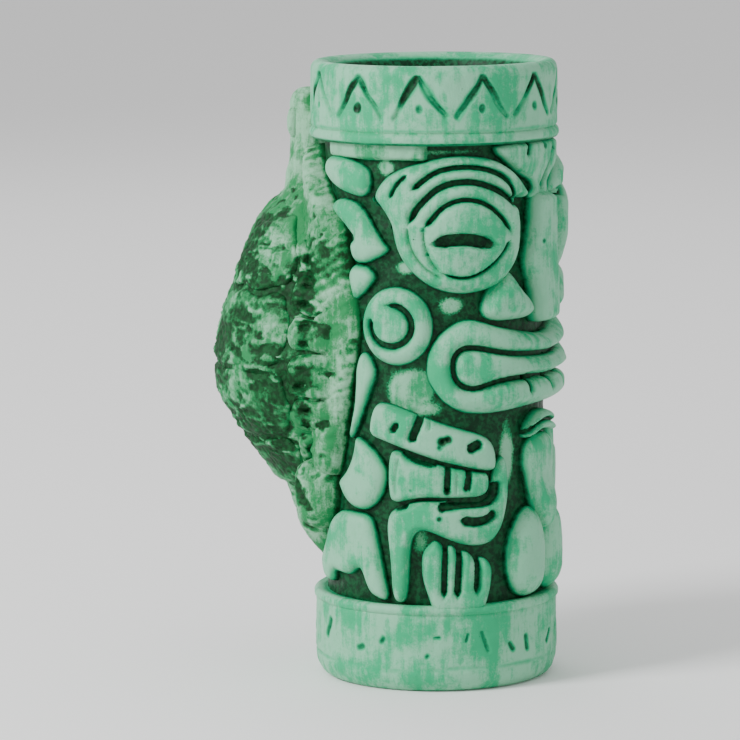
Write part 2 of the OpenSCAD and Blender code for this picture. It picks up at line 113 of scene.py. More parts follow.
def respace(path, step, closed=False):
    """The same path with points evenly spaced along it."""
    p = np.vstack([path, path[:1]]) if closed else path
    run = np.concatenate([[0], np.cumsum(np.hypot(*np.diff(p, axis=0).T))])
    count = max(int(round(run[-1] / step)), 3)
    s = np.linspace(0, run[-1], count + 1)
    out = np.stack([np.interp(s, run, p[:, 0]), np.interp(s, run, p[:, 1])], 1)
    return out[:-1] if closed else out


def path_distance(points, path, closed=False):
    """Distance from each point to a path, and how far along the path the nearest place is."""
    a = path
    b = np.roll(path, -1, 0) if closed else path[1:]
    a = a if closed else path[:-1]
    d = b - a
    length = np.hypot(d[:, 0], d[:, 1])
    start = np.concatenate([[0], np.cumsum(length)[:-1]])
    best = np.full(len(points), 1e9)
    along = np.zeros(len(points))
    for i in range(len(a)):
        t = np.clip(((points - a[i]) @ d[i]) / max(length[i] ** 2, 1e-12), 0, 1)
        gap = np.hypot(*(points - a[i] - t[:, None] * d[i]).T)
        nearer = gap < best
        best[nearer] = gap[nearer]
        along[nearer] = (start[i] + t * length[i])[nearer]
    return best, along, length.sum()


def inside(points, outline):
    """Which points lie inside a closed outline."""
    result = np.zeros(len(points), bool)
    x, y = points[:, 0], points[:, 1]
    a = outline
    b = np.roll(outline, -1, 0)
    for (ax, ay), (bx, by) in zip(a, b):
        if ay != by:
            crosses = (ay > y) != (by > y)
            result ^= crosses & (x < (bx - ax) * (y - ay) / (by - ay) + ax)
    return result


def quarter(t):
    """Quarter circle from 0 at t = 0 to 1 at t = 1."""
    t = np.clip(t, 0, 1)
    return np.sqrt(1 - (1 - t) ** 2)


def dent(distance, flat, side):
    """Depth of a round-sided cut at a distance from its middle, as a share of its full depth."""
    return 1 - quarter((distance - flat) / side)


def ramp(t):
    """Smooth step from 0 at t = 0 to 1 at t = 1."""
    t = np.clip(t, 0, 1)
    return t * t * (3 - 2 * t)


def seeded(xyz, size, seed):
    """Places in the noise for points in millimetres, with lumps of the given size; each seed has its own."""
    offset = Vector((seed * 7.1, seed * 3.7, seed * 5.3))
    return [Vector(p) / size + offset for p in xyz]


def grain(xyz, size, seed):
    """Smooth noise between -1 and 1 at each point."""
    return np.array([noise.noise(p) for p in seeded(xyz, size, seed)])


def crust(xyz, size, seed):
    """Sharp-ridged noise between 0 and 1, like barnacles on a shell."""
    values = [noise.ridged_multi_fractal(p, 1.0, 2.1, 3, 1.0, 2.0) for p in seeded(xyz, size, seed)]
    return np.clip(np.array(values) / 2.2, 0, 1)


# ---- surfaces that carvings lie on


def on_wall(psi, z, r):
    """Point at an angle, height and radius round the cup's axis."""
    a = np.radians(psi)
    return np.stack([-r * np.sin(a), -r * np.cos(a), z], 1)


SHELL_Y = 36.0  # the shell's own axis stands this far back from the cup's
SHELL_HEIGHTS = [48, 51, 60, 75, 87, 97, 112, 128, 142, 152, 156]
SHELL_RADII = [0, 8, 16, 27, 33.5, 34.8, 31.6, 26.4, 20, 11, 0]
SHELL_LIMIT = 37.5  # the crust stops growing at this radius, to stay inside the frame's box


def on_shell(beta, z, out):
    """Point on the turtle's shell: beta is measured from straight back, out is the height over its core."""
    r = np.minimum(np.interp(z, SHELL_HEIGHTS, SHELL_RADII) + out, SHELL_LIMIT)
    a = np.radians(beta)
    xyz = np.stack([-r * np.sin(a), SHELL_Y + r * np.cos(a), z], 1)
    from_axis = np.hypot(xyz[:, 0], xyz[:, 1])
    push = np.maximum(from_axis, WALL_R - WALL_BACK) / np.maximum(from_axis, 1e-6)
    xyz[:, :2] *= push[:, None]
    return xyz


# ---- building pieces


def outward(obj):
    """Turns every face of a closed piece to point outwards."""
    bm = bmesh.new()
    bm.from_mesh(obj.data)
    bmesh.ops.recalc_face_normals(bm, faces=bm.faces)
    bm.to_mesh(obj.data)
    bm.free()


def add_piece(name, xyz_mm, faces, wash, finish, nodes):
    """Makes one closed piece of the mug from points in millimetres and their wash values.

    finish is a glaze and a name for its slot, which is not used, and nodes are the frame's nodes that the
    piece stands for.
    """
    material, slot = finish
    mesh = bpy.data.meshes.new(name)
    mesh.from_pydata((np.asarray(xyz_mm) * MM).tolist(), [], [list(map(int, f)) for f in faces])
    mesh.attributes.new("wash", "FLOAT", "POINT").data.foreach_set("value", np.asarray(wash, np.float32))
    mesh.polygons.foreach_set("use_smooth", np.ones(len(mesh.polygons), bool))
    mesh.set_sharp_from_angle(angle=math.radians(SHARP_ANGLE))
    mesh.materials.append(material)
    obj = bpy.data.objects.new(name, mesh)
    bpy.context.scene.collection.objects.link(obj)
    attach(obj, "root")
    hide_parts(*nodes)
    outward(obj)


def grid_faces(rows, turns, ring):
    """Quads between rows of points round an axis; a ring joins its last row to its first, others get caps."""
    faces = []
    for j in range(rows if ring else rows - 1):
        k = (j + 1) % rows
        for i in range(turns):
            h = (i + 1) % turns
            faces.append((j * turns + i, j * turns + h, k * turns + h, k * turns + i))
    if not ring:
        faces += [tuple(range(turns))[::-1], tuple((rows - 1) * turns + i for i in range(turns))]
    return faces


def triangles(points, loops):
    """Triangles over the points inside the first loop and outside the others, which come first in points.

    Gives the points as well, because crossing edges add points of their own.
    """
    edges = []
    start = 0
    for loop in loops:
        n = len(loop)
        edges += [(start + i, start + (i + 1) % n) for i in range(n)]
        start += n
    found = delaunay_2d_cdt([Vector(p) for p in points], edges, [], 0, 1e-5, False)
    verts = np.array([tuple(v) for v in found[0]])
    tris = np.array([tuple(f) for f in found[2]])
    middle = verts[tris].mean(1)
    keep = inside(middle, loops[0])
    for hole in loops[1:]:
        keep &= ~inside(middle, hole)
    tris = tris[keep]
    used = np.unique(tris)
    index = np.full(len(verts), -1)
    index[used] = np.arange(len(used))
    return verts[used], index[tris]


def border_loops(tris):
    """The chains of vertices round the border of some triangles."""
    count = {}
    for a, b, c in tris:
        for edge in ((a, b), (b, c), (c, a)):
            count[edge] = 1
    after = {}
    for a, b in count:
        if (b, a) not in count:
            after.setdefault(a, []).append(b)
    loops = []
    while after:
        first = next(iter(after))
        chain = [first]
        here = first
        while True:
            step = after[here].pop()
            if not after[here]:
                del after[here]
            if step == first:
                break
            chain.append(step)
            here = step
        loops.append(chain)
    return loops


def hex_points(outline, step):
    """Points in staggered rows over an outline's box."""
    lo, hi = outline.min(0), outline.max(0)
    cols = np.arange(lo[0], hi[0], step)
    grid = []
    for i, y in enumerate(np.arange(lo[1], hi[1], step * 0.866)):
        grid.append(np.stack([cols + (step / 2 if i % 2 else 0), np.full(len(cols), y)], 1))
    return np.concatenate(grid)


def alongside(path, tangent, gaps):
    """Copies of a path moved sideways by each of the gaps."""
    normal = np.stack([-tangent[:, 1], tangent[:, 0]], 1) / np.hypot(*tangent.T)[:, None]
    return [path + normal * k for k in gaps]


def thin(points, gap):
    """The points with near-duplicates taken out, on a grid of cells of the given size."""
    cells = {}
    for p in points:
        cells.setdefault((int(p[0] // gap), int(p[1] // gap)), p)
    return np.array(list(cells.values()))


def nearest(points, others):
    """Distance from each point to the nearest of the others, up to 1 mm."""
    grid = {}
    for q in others:
        grid.setdefault((int(q[0] // 1), int(q[1] // 1)), []).append(q)
    out = np.ones(len(points))
    for i, p in enumerate(points):
        cx, cy = int(p[0] // 1), int(p[1] // 1)
        near = [q for dx in (-1, 0, 1) for dy in (-1, 0, 1) for q in grid.get((cx + dx, cy + dy), ())]
        if near:
            out[i] = min(out[i], np.hypot(*(np.array(near) - p).T).min())
    return out


class Groove:
    """A line cut into a carving: half-width of its flat bottom, width of each rounded side, and depth.

    taper is how far each end takes to fade out, and dark is how much of the wash lies in it.
    """

    def __init__(self, path, bottom=0.5, shoulder=1.4, depth=1.8, taper=2.5, dark=1.0):
        self.path, self.bottom, self.shoulder = path, bottom, shoulder
        self.depth, self.dark = depth, dark
        self.taper = taper if isinstance(taper, tuple) else (taper, taper)

    def fade(self, along, total):
        """Share of the full depth and width at distances along the line; a taper of 0 leaves an end open."""
        start, end = self.taper
        near = ramp(along / start + 0.1) if start else 1.0
        far = ramp((total - along) / end + 0.1) if end else 1.0
        return np.minimum(near, far) * np.ones(len(along))


# A round hollow: its centre, radius in millimetres, depth and darkness
Dimple = namedtuple("Dimple", "psi z radius depth dark", defaults=(1.0,))


def kept(points, loops, gap):
    """The points inside the first loop and outside the others that keep a distance from all of them."""
    ok = inside(points, loops[0])
    for hole in loops[1:]:
        ok &= ~inside(points, hole)
    points = points[ok]
    for loop in loops:
        points = points[path_distance(points, loop, True)[0] > gap]
    return points


def front(loops, cuts, step):
    """Points and triangles of a carving's front, with rows of points along its edges and its cuts."""
    rows = []
    for g, path in cuts:
        rows += alongside(path, np.gradient(path, axis=0), (0, g.bottom, -g.bottom))
    for loop in loops:
        rows += alongside(loop, np.roll(loop, -1, 0) - np.roll(loop, 1, 0), EDGE_ROWS)
    rows = thin(kept(np.concatenate(rows), loops, 0.2), step * 0.45)
    filling = kept(hex_points(loops[0], step), loops, step * 0.5)
    filling = filling[nearest(filling, rows) > step * 0.55]
    return triangles(np.concatenate(loops + [rows, filling]), loops)


def back_and_sides(points, tris, loops):
    """Points of a carving's back, and all its faces: front, back and the sides between them."""
    chains = sorted(border_loops(tris), key=len, reverse=True)
    borders = [points[c] for c in chains]
    filling = kept(hex_points(loops[0], BACK_STEP), loops, 1.0)
    back, back_tris = triangles(np.concatenate(borders + [filling]), borders)
    n = len(points)
    faces = list(tris) + [t[::-1] + n for t in back_tris]
    behind = {tuple(np.round(p, 4)): n + i for i, p in enumerate(back)}
    for chain in chains:
        for a, b in zip(chain, chain[1:] + chain[:1]):
            faces.append([b, a] + [behind[tuple(np.round(points[c], 4))] for c in (a, b)])
    return back, faces


def carve(
    name, outline, top, edge=2.6, side=1, rim=None, hole=None, grooves=(), dimples=(), clip=None,
    low=WALL_R - 0.4, rough=0.16, place=on_wall, finish=None, nodes=None, extra=None, step=GRAIN,
    reach=WASH_REACH,
):
    """One raised carving with rounded edges, as a closed mesh whose back is buried in the wall.

    top is the radius of its highest surface and edge the width of its rounded sides, each a number or a
    function of (angle, height); rim is the outline whose distance rounds the sides, where it isn't the
    piece's own; clip cuts the outline off; low is the radius where its sides end; rough is the height of the
    hand-made unevenness; extra gives further lumps and paleness; reach is how far up its sides the wash goes.
    """

    def flat(path):
        return np.array(path, float) * np.array([-DEG * side, 1.0])

    def closed(path):
        return respace(flat(soften(path)), step, True)

    loops = [closed(outline)]
    if clip is not None:
        loops[0] = respace(clip(loops[0], side), step, True)
    if hole is not None:
        loops.append(closed(hole))
    edges = [closed(rim)] if rim is not None else loops
    cuts = [(g, respace(flat(smooth_path(g.path)), step)) for g in grooves]

    points, tris = front(loops, cuts, step)
    psi, z = points[:, 0] / -DEG, points[:, 1]
    crest = np.full(len(points), float(top)) if not callable(top) else top(psi * side, z)
    gap = np.min([path_distance(points, e, True)[0] for e in edges], axis=0)
    if rim is not None:
        gap[gap < 0.05] = 0
    edge = edge(psi * side, z) if callable(edge) else edge
    radius = low + (crest - low) * quarter(gap / edge)
    wash = (np.hypot(gap, radius - low) - WASH_FOOT * reach) / reach
    for g, path in cuts:
        d, along, total = path_distance(points, path)
        fade = g.fade(along, total)
        wall = quarter((d - g.bottom * fade) / (g.shoulder * (0.4 + 0.6 * fade)))
        radius -= g.depth * fade * (1 - wall)
        climb = np.hypot(np.maximum(d - g.bottom * fade, 0), g.depth * wall) / WASH_REACH
        wash = np.minimum(wash, climb + 1 - g.dark * np.minimum(1, 1.6 * fade))
    for h in dimples:
        d = np.hypot(points[:, 0] + h.psi * side * DEG, z - h.z)
        radius -= h.depth * (1 - quarter(np.clip(d / h.radius - 0.25, 0, 1)))
        wash = np.minimum(wash, 1 - h.dark + np.maximum(d - 0.6 * h.radius, 0) / DIMPLE_REACH)
    wash = np.clip(wash, 0, 1)
    xyz = place(psi, z, radius)
    lumps = rough * (0.7 * grain(xyz, 7.0, 1.0) + 0.45 * grain(xyz, 2.6, 2.0)) * quarter(gap / edge)
    if extra is not None:
        more, shade = extra(psi * side, z, xyz, gap)
        lumps = lumps + more
        wash = np.clip(wash * shade, 0, 1)
    radius = np.maximum(radius + lumps, low - 0.3)
    xyz = place(psi, z, radius)

    back, faces = back_and_sides(points, tris, loops)
    back_xyz = place(back[:, 0] / -DEG, back[:, 1], np.full(len(back), low - WALL_BACK))
    all_xyz = np.concatenate([xyz, back_xyz])
    all_wash = np.concatenate([wash, np.zeros(len(back_xyz))])
    add_piece(name, all_xyz, faces, all_wash, finish or GLAZE, nodes or [name])


def lathe(name, profile, shape, finish, turns):
    """Ring turned from a closed profile of (radius, height); shape gives its points' radius and wash."""
    rows = len(profile)
    psi = np.repeat(np.linspace(0, 360, turns, endpoint=False)[None], rows, 0).ravel()
    r = np.repeat(profile[:, 0], turns)
    z = np.repeat(profile[:, 1], turns)
    r, wash = shape(psi, z, r)
    add_piece(name, on_wall(psi, z, r), grid_faces(rows, turns, True), wash, finish, [name])


# ---- glazes


def srgb(text):
    """Linear colour from six hexadecimal digits."""
    values = [int(text[i : i + 2], 16) / 255 for i in (0, 2, 4)]
    return [v / 12.92 if v <= 0.04045 else ((v + 0.055) / 1.055) ** 2.4 for v in values] + [1.0]


class Nodes:
    """A material's node tree, with short calls to add and join nodes."""

    def __init__(self, name):
        self.material = bpy.data.materials.new(name)
        self.material.use_nodes = True
        self.tree = self.material.node_tree
        self.tree.nodes.clear()

    def join(self, value, socket):
        """Links another node's output to a socket, or sets the socket to a plain value."""
        if hasattr(value, "is_output"):
            self.tree.links.new(value, socket)
        else:
            socket.default_value = value

    def add(self, kind, inputs=None, **settings):
        node = self.tree.nodes.new(kind)
        for key, value in settings.items():
            setattr(node, key, value)
        for key, value in (inputs or {}).items():
            self.join(value, node.inputs[key])
        return node

    def math(self, operation, a, b, clamp=False):
        node = self.add("ShaderNodeMath", {0: a, 1: b}, operation=operation)
        node.use_clamp = clamp
        return node.outputs[0]

    def total(self, *values):
        result = values[-1]
        for value in values[-2::-1]:
            result = self.math("ADD", value, result)
        return result

    def around(self, value, amount):
        """Noise that lies round 0.5, moved to lie round 0 and scaled."""
        return self.math("MULTIPLY", self.math("SUBTRACT", value, 0.5), amount)

    def ramp(self, value, low, high):
        """Smooth step from 0 at low to 1 at high."""
        limits = {"Value": value, "From Min": low, "From Max": high}
        return self.add("ShaderNodeMapRange", limits, interpolation_type="SMOOTHSTEP").outputs["Result"]

    def mix(self, factor, a, b):
        node = self.add("ShaderNodeMix", {"Factor": factor}, data_type="RGBA")
        self.join(a, node.inputs[6])
        self.join(b, node.inputs[7])
        return node.outputs[2]

    def noise(self, vector, scale, detail, roughness):
        settings = {"Vector": vector, "Scale": scale, "Detail": detail, "Roughness": roughness}
        return self.add("ShaderNodeTexNoise", settings).outputs["Fac"]

    def surface(self, settings):
        """The material's shader, with the given settings."""
        shader = self.add("ShaderNodeBsdfPrincipled", settings)
        self.add("ShaderNodeOutputMaterial", {"Surface": shader.outputs["BSDF"]})

    def stretched(self, vector, scale):
        return self.add("ShaderNodeMapping", {"Vector": vector, "Scale": scale}).outputs["Vector"]


def glaze(name, pale, mid, dark, deepest, green, crisp=1.0, rough=0.45):
    """Wiped glaze: pale on raised parts, mid green in brushed patches and beside the cuts, dark in the cuts.

    The wash attribute runs from 0 in the bottom of a cut to 1 on open raised surfaces; green is how much of
    the open surface is mid green, and crisp how sharply the wash changes. Gives the material and its name.
    """
    n = Nodes(name)
    where = n.add("ShaderNodeTexCoord").outputs["Object"]
    wash = n.add("ShaderNodeAttribute", attribute_name="wash").outputs["Fac"]
    blotch = n.noise(where, 58.0, 5.0, 0.62)
    strokes = n.noise(n.stretched(where, (460.0, 460.0, 55.0)), 1.0, 4.0, 0.6)
    cross = n.noise(n.stretched(where, (70.0, 70.0, 600.0)), 1.0, 3.0, 0.55)
    fine = n.noise(where, 1700.0, 4.0, 0.75)
    pits = n.noise(where, 620.0, 3.0, 0.6)
    if crisp > 1:
        ragged = n.total(wash, n.around(blotch, 0.7), n.around(fine, 0.5))
        wash = n.math("ADD", 0.5, n.around(ragged, crisp), clamp=True)

    streaks = n.total(blotch, n.around(strokes, 0.42))
    brushed = n.total(streaks, n.around(fine, 0.22), n.around(cross, 0.06))
    fringe = n.total(wash, n.around(blotch, 0.9), n.around(strokes, 0.5))
    greenness = n.ramp(brushed, 0.66 - 0.3 * green, 0.86 - 0.3 * green)
    greenness = n.math("MAXIMUM", greenness, n.ramp(fringe, 0.95, 0.35))
    colour = n.mix(greenness, srgb(pale), srgb(mid))
    depth = n.total(wash, n.around(pits, 0.35), n.around(fine, 0.25), n.around(blotch, 0.3))
    between = n.ramp(depth, 0.5, 0.2)
    colour = n.mix(n.math("MULTIPLY", between, 0.75), colour, srgb(dark))
    washed = n.mix(n.ramp(pits, 0.4, 0.62), srgb(deepest), srgb(dark))
    colour = n.mix(n.ramp(depth, 0.26, 0.08), colour, washed)
    specks = n.ramp(n.total(pits, n.around(fine, 0.3)), 0.70, 0.78)
    colour = n.mix(n.math("MULTIPLY", specks, 0.5), colour, srgb(dark))

    height = n.total(n.math("MULTIPLY", fine, 0.3), n.math("MULTIPLY", pits, 0.7))
    bump = n.add("ShaderNodeBump", {"Height": height, "Strength": 0.4, "Distance": 0.0007})
    gloss = n.total(rough, n.around(pits, 0.25))
    normal = bump.outputs["Normal"]
    n.surface({"Base Color": colour, "Roughness": gloss, "Normal": normal, "Specular IOR Level": 0.16})
    return n.material, name


GLAZE = glaze("carved_glaze", "7DBD9A", "1DA46F", "054A28", "012D17", green=0.8)
WALL_GLAZE = glaze("dark_wash_glaze", "7AB693", "1C8C58", "064B29", "012D16", green=0.6, crisp=2.6)
SHELL_GLAZE = glaze("turtle_glaze", "84BA97", "1B7C45", "0B4A24", "043013", green=0.85, crisp=1.5, rough=0.6)

# ---- camera, light and floor


def set_camera():
    """Camera at the photograph's view: from the mug's front right, a little above."""
    distance, elevation, around, lens = 1.32, math.radians(7.8), math.radians(65), 206.9
    aside, below, roll = 0.0202, 0.0005, math.radians(-0.37)
    target = Vector((0, 0, 0.095))
    level = Vector((-math.sin(around), -math.cos(around), 0))
    place = target + distance * (level * math.cos(elevation) + Vector((0, 0, math.sin(elevation))))

    def across(forward):
        right = forward.cross(Vector((0, 0, 1))).normalized()
        return right, right.cross(forward)

    right, up = across((target - place).normalized())
    forward = (target - right * aside - up * below - place).normalized()
    right, up = across(forward)
    side = right * math.cos(roll) + up * math.sin(roll)
    over = up * math.cos(roll) - right * math.sin(roll)
    data = bpy.data.cameras.new("camera")
    data.lens = lens
    data.sensor_width = 36
    data.clip_end = 100
    camera = bpy.data.objects.new("camera", data)
    axes = Matrix((side, over, -forward)).transposed()
    camera.matrix_world = Matrix.Translation(place) @ axes.to_4x4()
    bpy.context.scene.collection.objects.link(camera)
    bpy.context.scene.camera = camera


# Studio lamps: name, place, size and power
LAMPS = [
    ("key", (-1.1, 0.7, 1.0), 0.5, 27),
    ("front", (-0.3, -1.6, 0.8), 1.2, 2),
    ("back", (0.9, 1.0, 1.2), 1.0, 6),
]


def set_light():
    """White surroundings and three soft lamps aimed at the mug's middle."""
    world = bpy.data.worlds.new("studio")
    world.use_nodes = True
    background = world.node_tree.nodes["Background"].inputs
    background["Color"].default_value = (1, 1, 1, 1)
    background["Strength"].default_value = 0.8
    bpy.context.scene.world = world
    for name, place, size, power in LAMPS:
        data = bpy.data.lights.new(name, "AREA")
        data.size = size
        data.energy = power
        lamp = bpy.data.objects.new(name, data)
        lamp.location = place
        lamp.rotation_euler = (Vector((0, 0, 0.1)) - Vector(place)).to_track_quat("-Z", "Y").to_euler()
        bpy.context.scene.collection.objects.link(lamp)


def set_floor():
    """Plain pale floor, half of its width in metres."""
    half = 30.0
    mesh = bpy.data.meshes.new("floor")
    corners = [(-half, -half, 0), (half, -half, 0), (half, half, 0), (-half, half, 0)]
    mesh.from_pydata(corners, [], [(0, 1, 2, 3)])
    n = Nodes("floor")
    n.surface({"Base Color": (0.9, 0.9, 0.9, 1), "Roughness": 0.9})
    mesh.materials.append(n.material)
    floor = bpy.data.objects.new("floor", mesh)
    bpy.context.scene.collection.objects.link(floor)


set_camera()
set_light()
set_floor()

# ---- cup, rim and base


def arc(cx, cz, rx, rz, a0, a1, steps=10):
    """Part of an ellipse round (cx, cz), between two angles in degrees."""
    a = np.radians(np.linspace(a0, a1, steps + 1))
    return np.stack([cx + rx * np.cos(a), cz + rz * np.sin(a)], 1)


# Places where the dark wash is rubbed off the wall: angle, height, half-width, half-height and how bare
WALL_RUBS = [
    (79, 93, 7, 6.5, 1.1), (70, 87, 6, 3, 0.7), (57, 118.6, 4, 3, 0.8), (80, 130, 4, 2.6, 0.8),
    (90, 160, 3, 3, 0.8), (25, 72, 3.5, 12, 0.9), (92, 118, 3, 4, 0.6), (118, 108, 5, 10, 0.8),
    (112, 66, 4, 5, 0.5), (84, 153, 3, 3, 0.6), (14, 88, 5, 3, 0.6), (73, 47, 3, 5, 0.5),
    (100, 45, 3, 3, 0.4), (60, 165, 12, 1.2, 0.45), (37, 121, 2, 2, 0.4), (140, 118, 6, 12, 0.6),
    (150, 40, 8, 5, 0.7), (125, 158, 4, 4, 0.5),
]

# The two ledges under the rim: first and last angle, height, and how far they stand out
LEDGES = [(66, 132), (228, 294)]
LEDGE_Z = 161.8
LEDGE_OUT = 2.2


def cup_body():
    """The wall with its floor, its ledges and the dark wash between the carvings."""
    inner_round = 7.0
    profile = np.concatenate([
        [[2.0, 0.3], [24.0, 0.3], [25.2, 0.0], [WALL_R - 1, 0.0], [WALL_R, 0.6]],
        np.stack([np.full(320, WALL_R), np.linspace(2, WALL_TOP, 320)], 1),
        [[BORE_R, WALL_TOP]],
        np.stack([np.full(24, BORE_R), np.linspace(179, FLOOR_T + inner_round + 2, 24)], 1),
        arc(BORE_R - inner_round, FLOOR_T + inner_round, inner_round, inner_round, 0, -90),
        [[2.0, FLOOR_T]],
    ])

    def shape(psi, z, r):
        outer = (r > WALL_R - 0.1) & (z > 20)
        ledge = np.zeros(len(psi))
        for first, last in LEDGES:
            ledge += ramp((z - LEDGE_Z) / 1.6) * ramp((psi - first) / 6) * ramp((last - psi) / 6)
        r = r + np.where(outer, LEDGE_OUT * ledge, 0)
        xyz = on_wall(psi, z, r)
        pick = np.where(outer)[0]
        lumps = 0.35 * grain(xyz[pick], 6.0, 3.0) + 0.22 * grain(xyz[pick], 2.2, 4.0)
        r[pick] += np.minimum(lumps, 0.25)
        wash = np.where(outer, 0.04 + 0.8 * ledge, 0.0)
        signed = np.abs((psi + 180) % 360 - 180)
        for a, h, wide, tall, strength in WALL_RUBS:
            d = np.hypot((signed - a) * DEG * 0.9 / wide, (z - h) / tall)
            wash = np.where(outer, np.maximum(wash, strength * np.exp(-d * d)), wash)
        inner = (r < BORE_R + 0.1) & (z > FLOOR_T - 0.1)
        wash[inner] = 0.16
        wash[z < 1] = 0.75
        return r, wash

    lathe("cup_body", profile, shape, WALL_GLAZE, turns=640)


def stroke_distance(u, z, a, b):
    """Distance in millimetres from points of the unrolled wall to the stroke from a to b."""
    d = b - a
    p = np.stack([u, z], 1) - a
    t = np.clip(p @ d / (d @ d), 0, 1)
    return np.hypot(*(p - t[:, None] * d).T)


CHEVRONS = 12  # round the whole rim, each with a dot under it
DARK_DOT = 2  # which of the dots is large and dark
LEG_GAP = 2.0  # half the gap between the feet of neighbouring chevrons


def rim_band():
    """The band at the mouth, with its bead, chevrons and dots."""
    bead = 2.0
    crest = 35.4  # radius of the rim's highest line
    low_z, high_z, pitch, first_low = RIM_LOW + 8.6, CUP_TOP - 3.6, 360 / CHEVRONS, 27.0
    per_degree = RIM_R * math.pi / 180
    profile = np.concatenate([
        [[WALL_R - 1, RIM_START], [WALL_R - 1, RIM_LOW + 0.3], [WALL_R + 1, RIM_LOW + 0.2]],
        arc(RIM_R + 0.5 - bead, RIM_LOW + bead, bead, bead, -90, 62, 9),
        np.stack([np.full(34, RIM_R), np.linspace(RIM_LOW + 4.6, CUP_TOP - 3.6, 34)], 1),
        arc(crest, CUP_TOP - 3.3, RIM_R - crest, 3.3, 5, 90, 9),
        arc(crest, CUP_TOP - 5.2, crest - BORE_R, 5.2, 100, 180, 10),
        [[BORE_R, RIM_START]],
    ])
    rng = np.random.default_rng(4)
    dot_size = rng.uniform(1.1, 1.6, CHEVRONS)
    dot_size[DARK_DOT] = 1.9

    def shape(psi, z, r):
        xyz = on_wall(psi, z, r)
        outer = r > RIM_R - 3
        pick = np.where(outer)[0]
        wobble = np.zeros((len(psi), 2))
        wobble[pick, 0] = 0.9 * grain(xyz[pick], 7.0, 11.0)
        wobble[pick, 1] = 0.9 * grain(xyz[pick], 7.0, 12.0)
        hand = 0.26 * grain(xyz[pick], 10.0, 13.0) + 0.16 * grain(xyz[pick], 3.0, 14.0)
        fold = np.abs((psi - first_low + pitch / 2) % pitch - pitch / 2) * per_degree + wobble[:, 0]
        foot, tip = np.array([LEG_GAP, low_z]), np.array([pitch / 2 * per_degree - 0.3, high_z])
        line = stroke_distance(fold, z + wobble[:, 1], foot, tip)
        number = ((psi - first_low) // pitch).astype(int) % CHEVRONS
        across = ((psi - first_low) % pitch - pitch / 2) * per_degree
        dot = np.hypot(across + wobble[:, 0], (z - low_z - 2.6) * 0.9)
        size = dot_size[number]
        face = outer & (z > RIM_LOW + 4.7) & (z < CUP_TOP - 2)
        depth = np.where(face, dent(line, 0.5, 0.9), 0)
        depth = np.maximum(depth, np.where(face, 0.75 * dent(dot, size * 0.4, size), 0))
        wash = np.ones(len(psi))
        strength = np.clip(0.8 + 0.8 * wobble[:, 0], 0.3, 1) * (0.6 + 0.4 * ramp((z - low_z - 0.5) / 5))
        wash = np.where(face, 1 - strength * (1 - ramp((line - 0.5) / 1.6)), wash)
        wash = np.where(face, np.minimum(wash, 1.02 - 0.5 * size + ramp((dot - size * 0.6) / 1.4)), wash)
        seam = np.abs(z - RIM_LOW - 4.5)
        wash = np.where(outer & (seam < 0.8), np.minimum(wash, 0.55 + 0.4 * seam), wash)
        wash = np.where(z < RIM_LOW + 0.8, 0.25, wash)
        inner = r < crest - 1.2
        wash = np.where(inner, 0.12 + 0.88 * ramp((z - CUP_TOP + 2.8) / 2.6), wash)
        r = r - depth
        r[pick] += hand
        return r, wash

    lathe("rim_band", profile, shape, GLAZE, turns=800)


# Short strokes round the base: angle and height of each end, and half-width
BASE_STROKES = [
    (129, 14.5, 125, 19.5, 0.9), (104, 12.8, 102, 13.4, 0.9), (91.5, 15.4, 90.5, 16.4, 0.7),
    (69.5, 11.2, 69, 11.6, 0.5), (66, 17.2, 63.5, 17.3, 0.25), (51, 16, 50, 18, 0.5),
    (43.2, 18.4, 40, 12.6, 0.75), (28, 14, 26.2, 12.2, 0.7), (17.6, 15.5, 17, 11.6, 0.7),
    (0, 12.2, -3.5, 15, 0.8), (-15, 12.5, -16, 15.4, 0.7), (-30, 18, -33, 12.6, 0.7),
    (-47, 13, -48, 15, 0.6), (-62, 17.4, -66, 12.4, 0.8), (-84, 12.4, -85, 15, 0.6),
    (-101, 17.5, -104, 13, 0.7), (-122, 12.5, -124, 15.5, 0.7), (-143, 18, -147, 13, 0.8),
    (-165, 13, -166, 15.5, 0.6), (175, 18, 171, 13, 0.8), (152, 12.6, 151, 15.2, 0.7),
]
SCRATCH_Z = 7.2  # height of the uneven line round the base


def wavy(psi):
    """Slow waves round the mug, for a line drawn by hand."""
    a = np.radians(psi)
    return np.sin(3 * a) + 0.6 * np.sin(7 * a + 1) + 0.4 * np.sin(13 * a + 2)


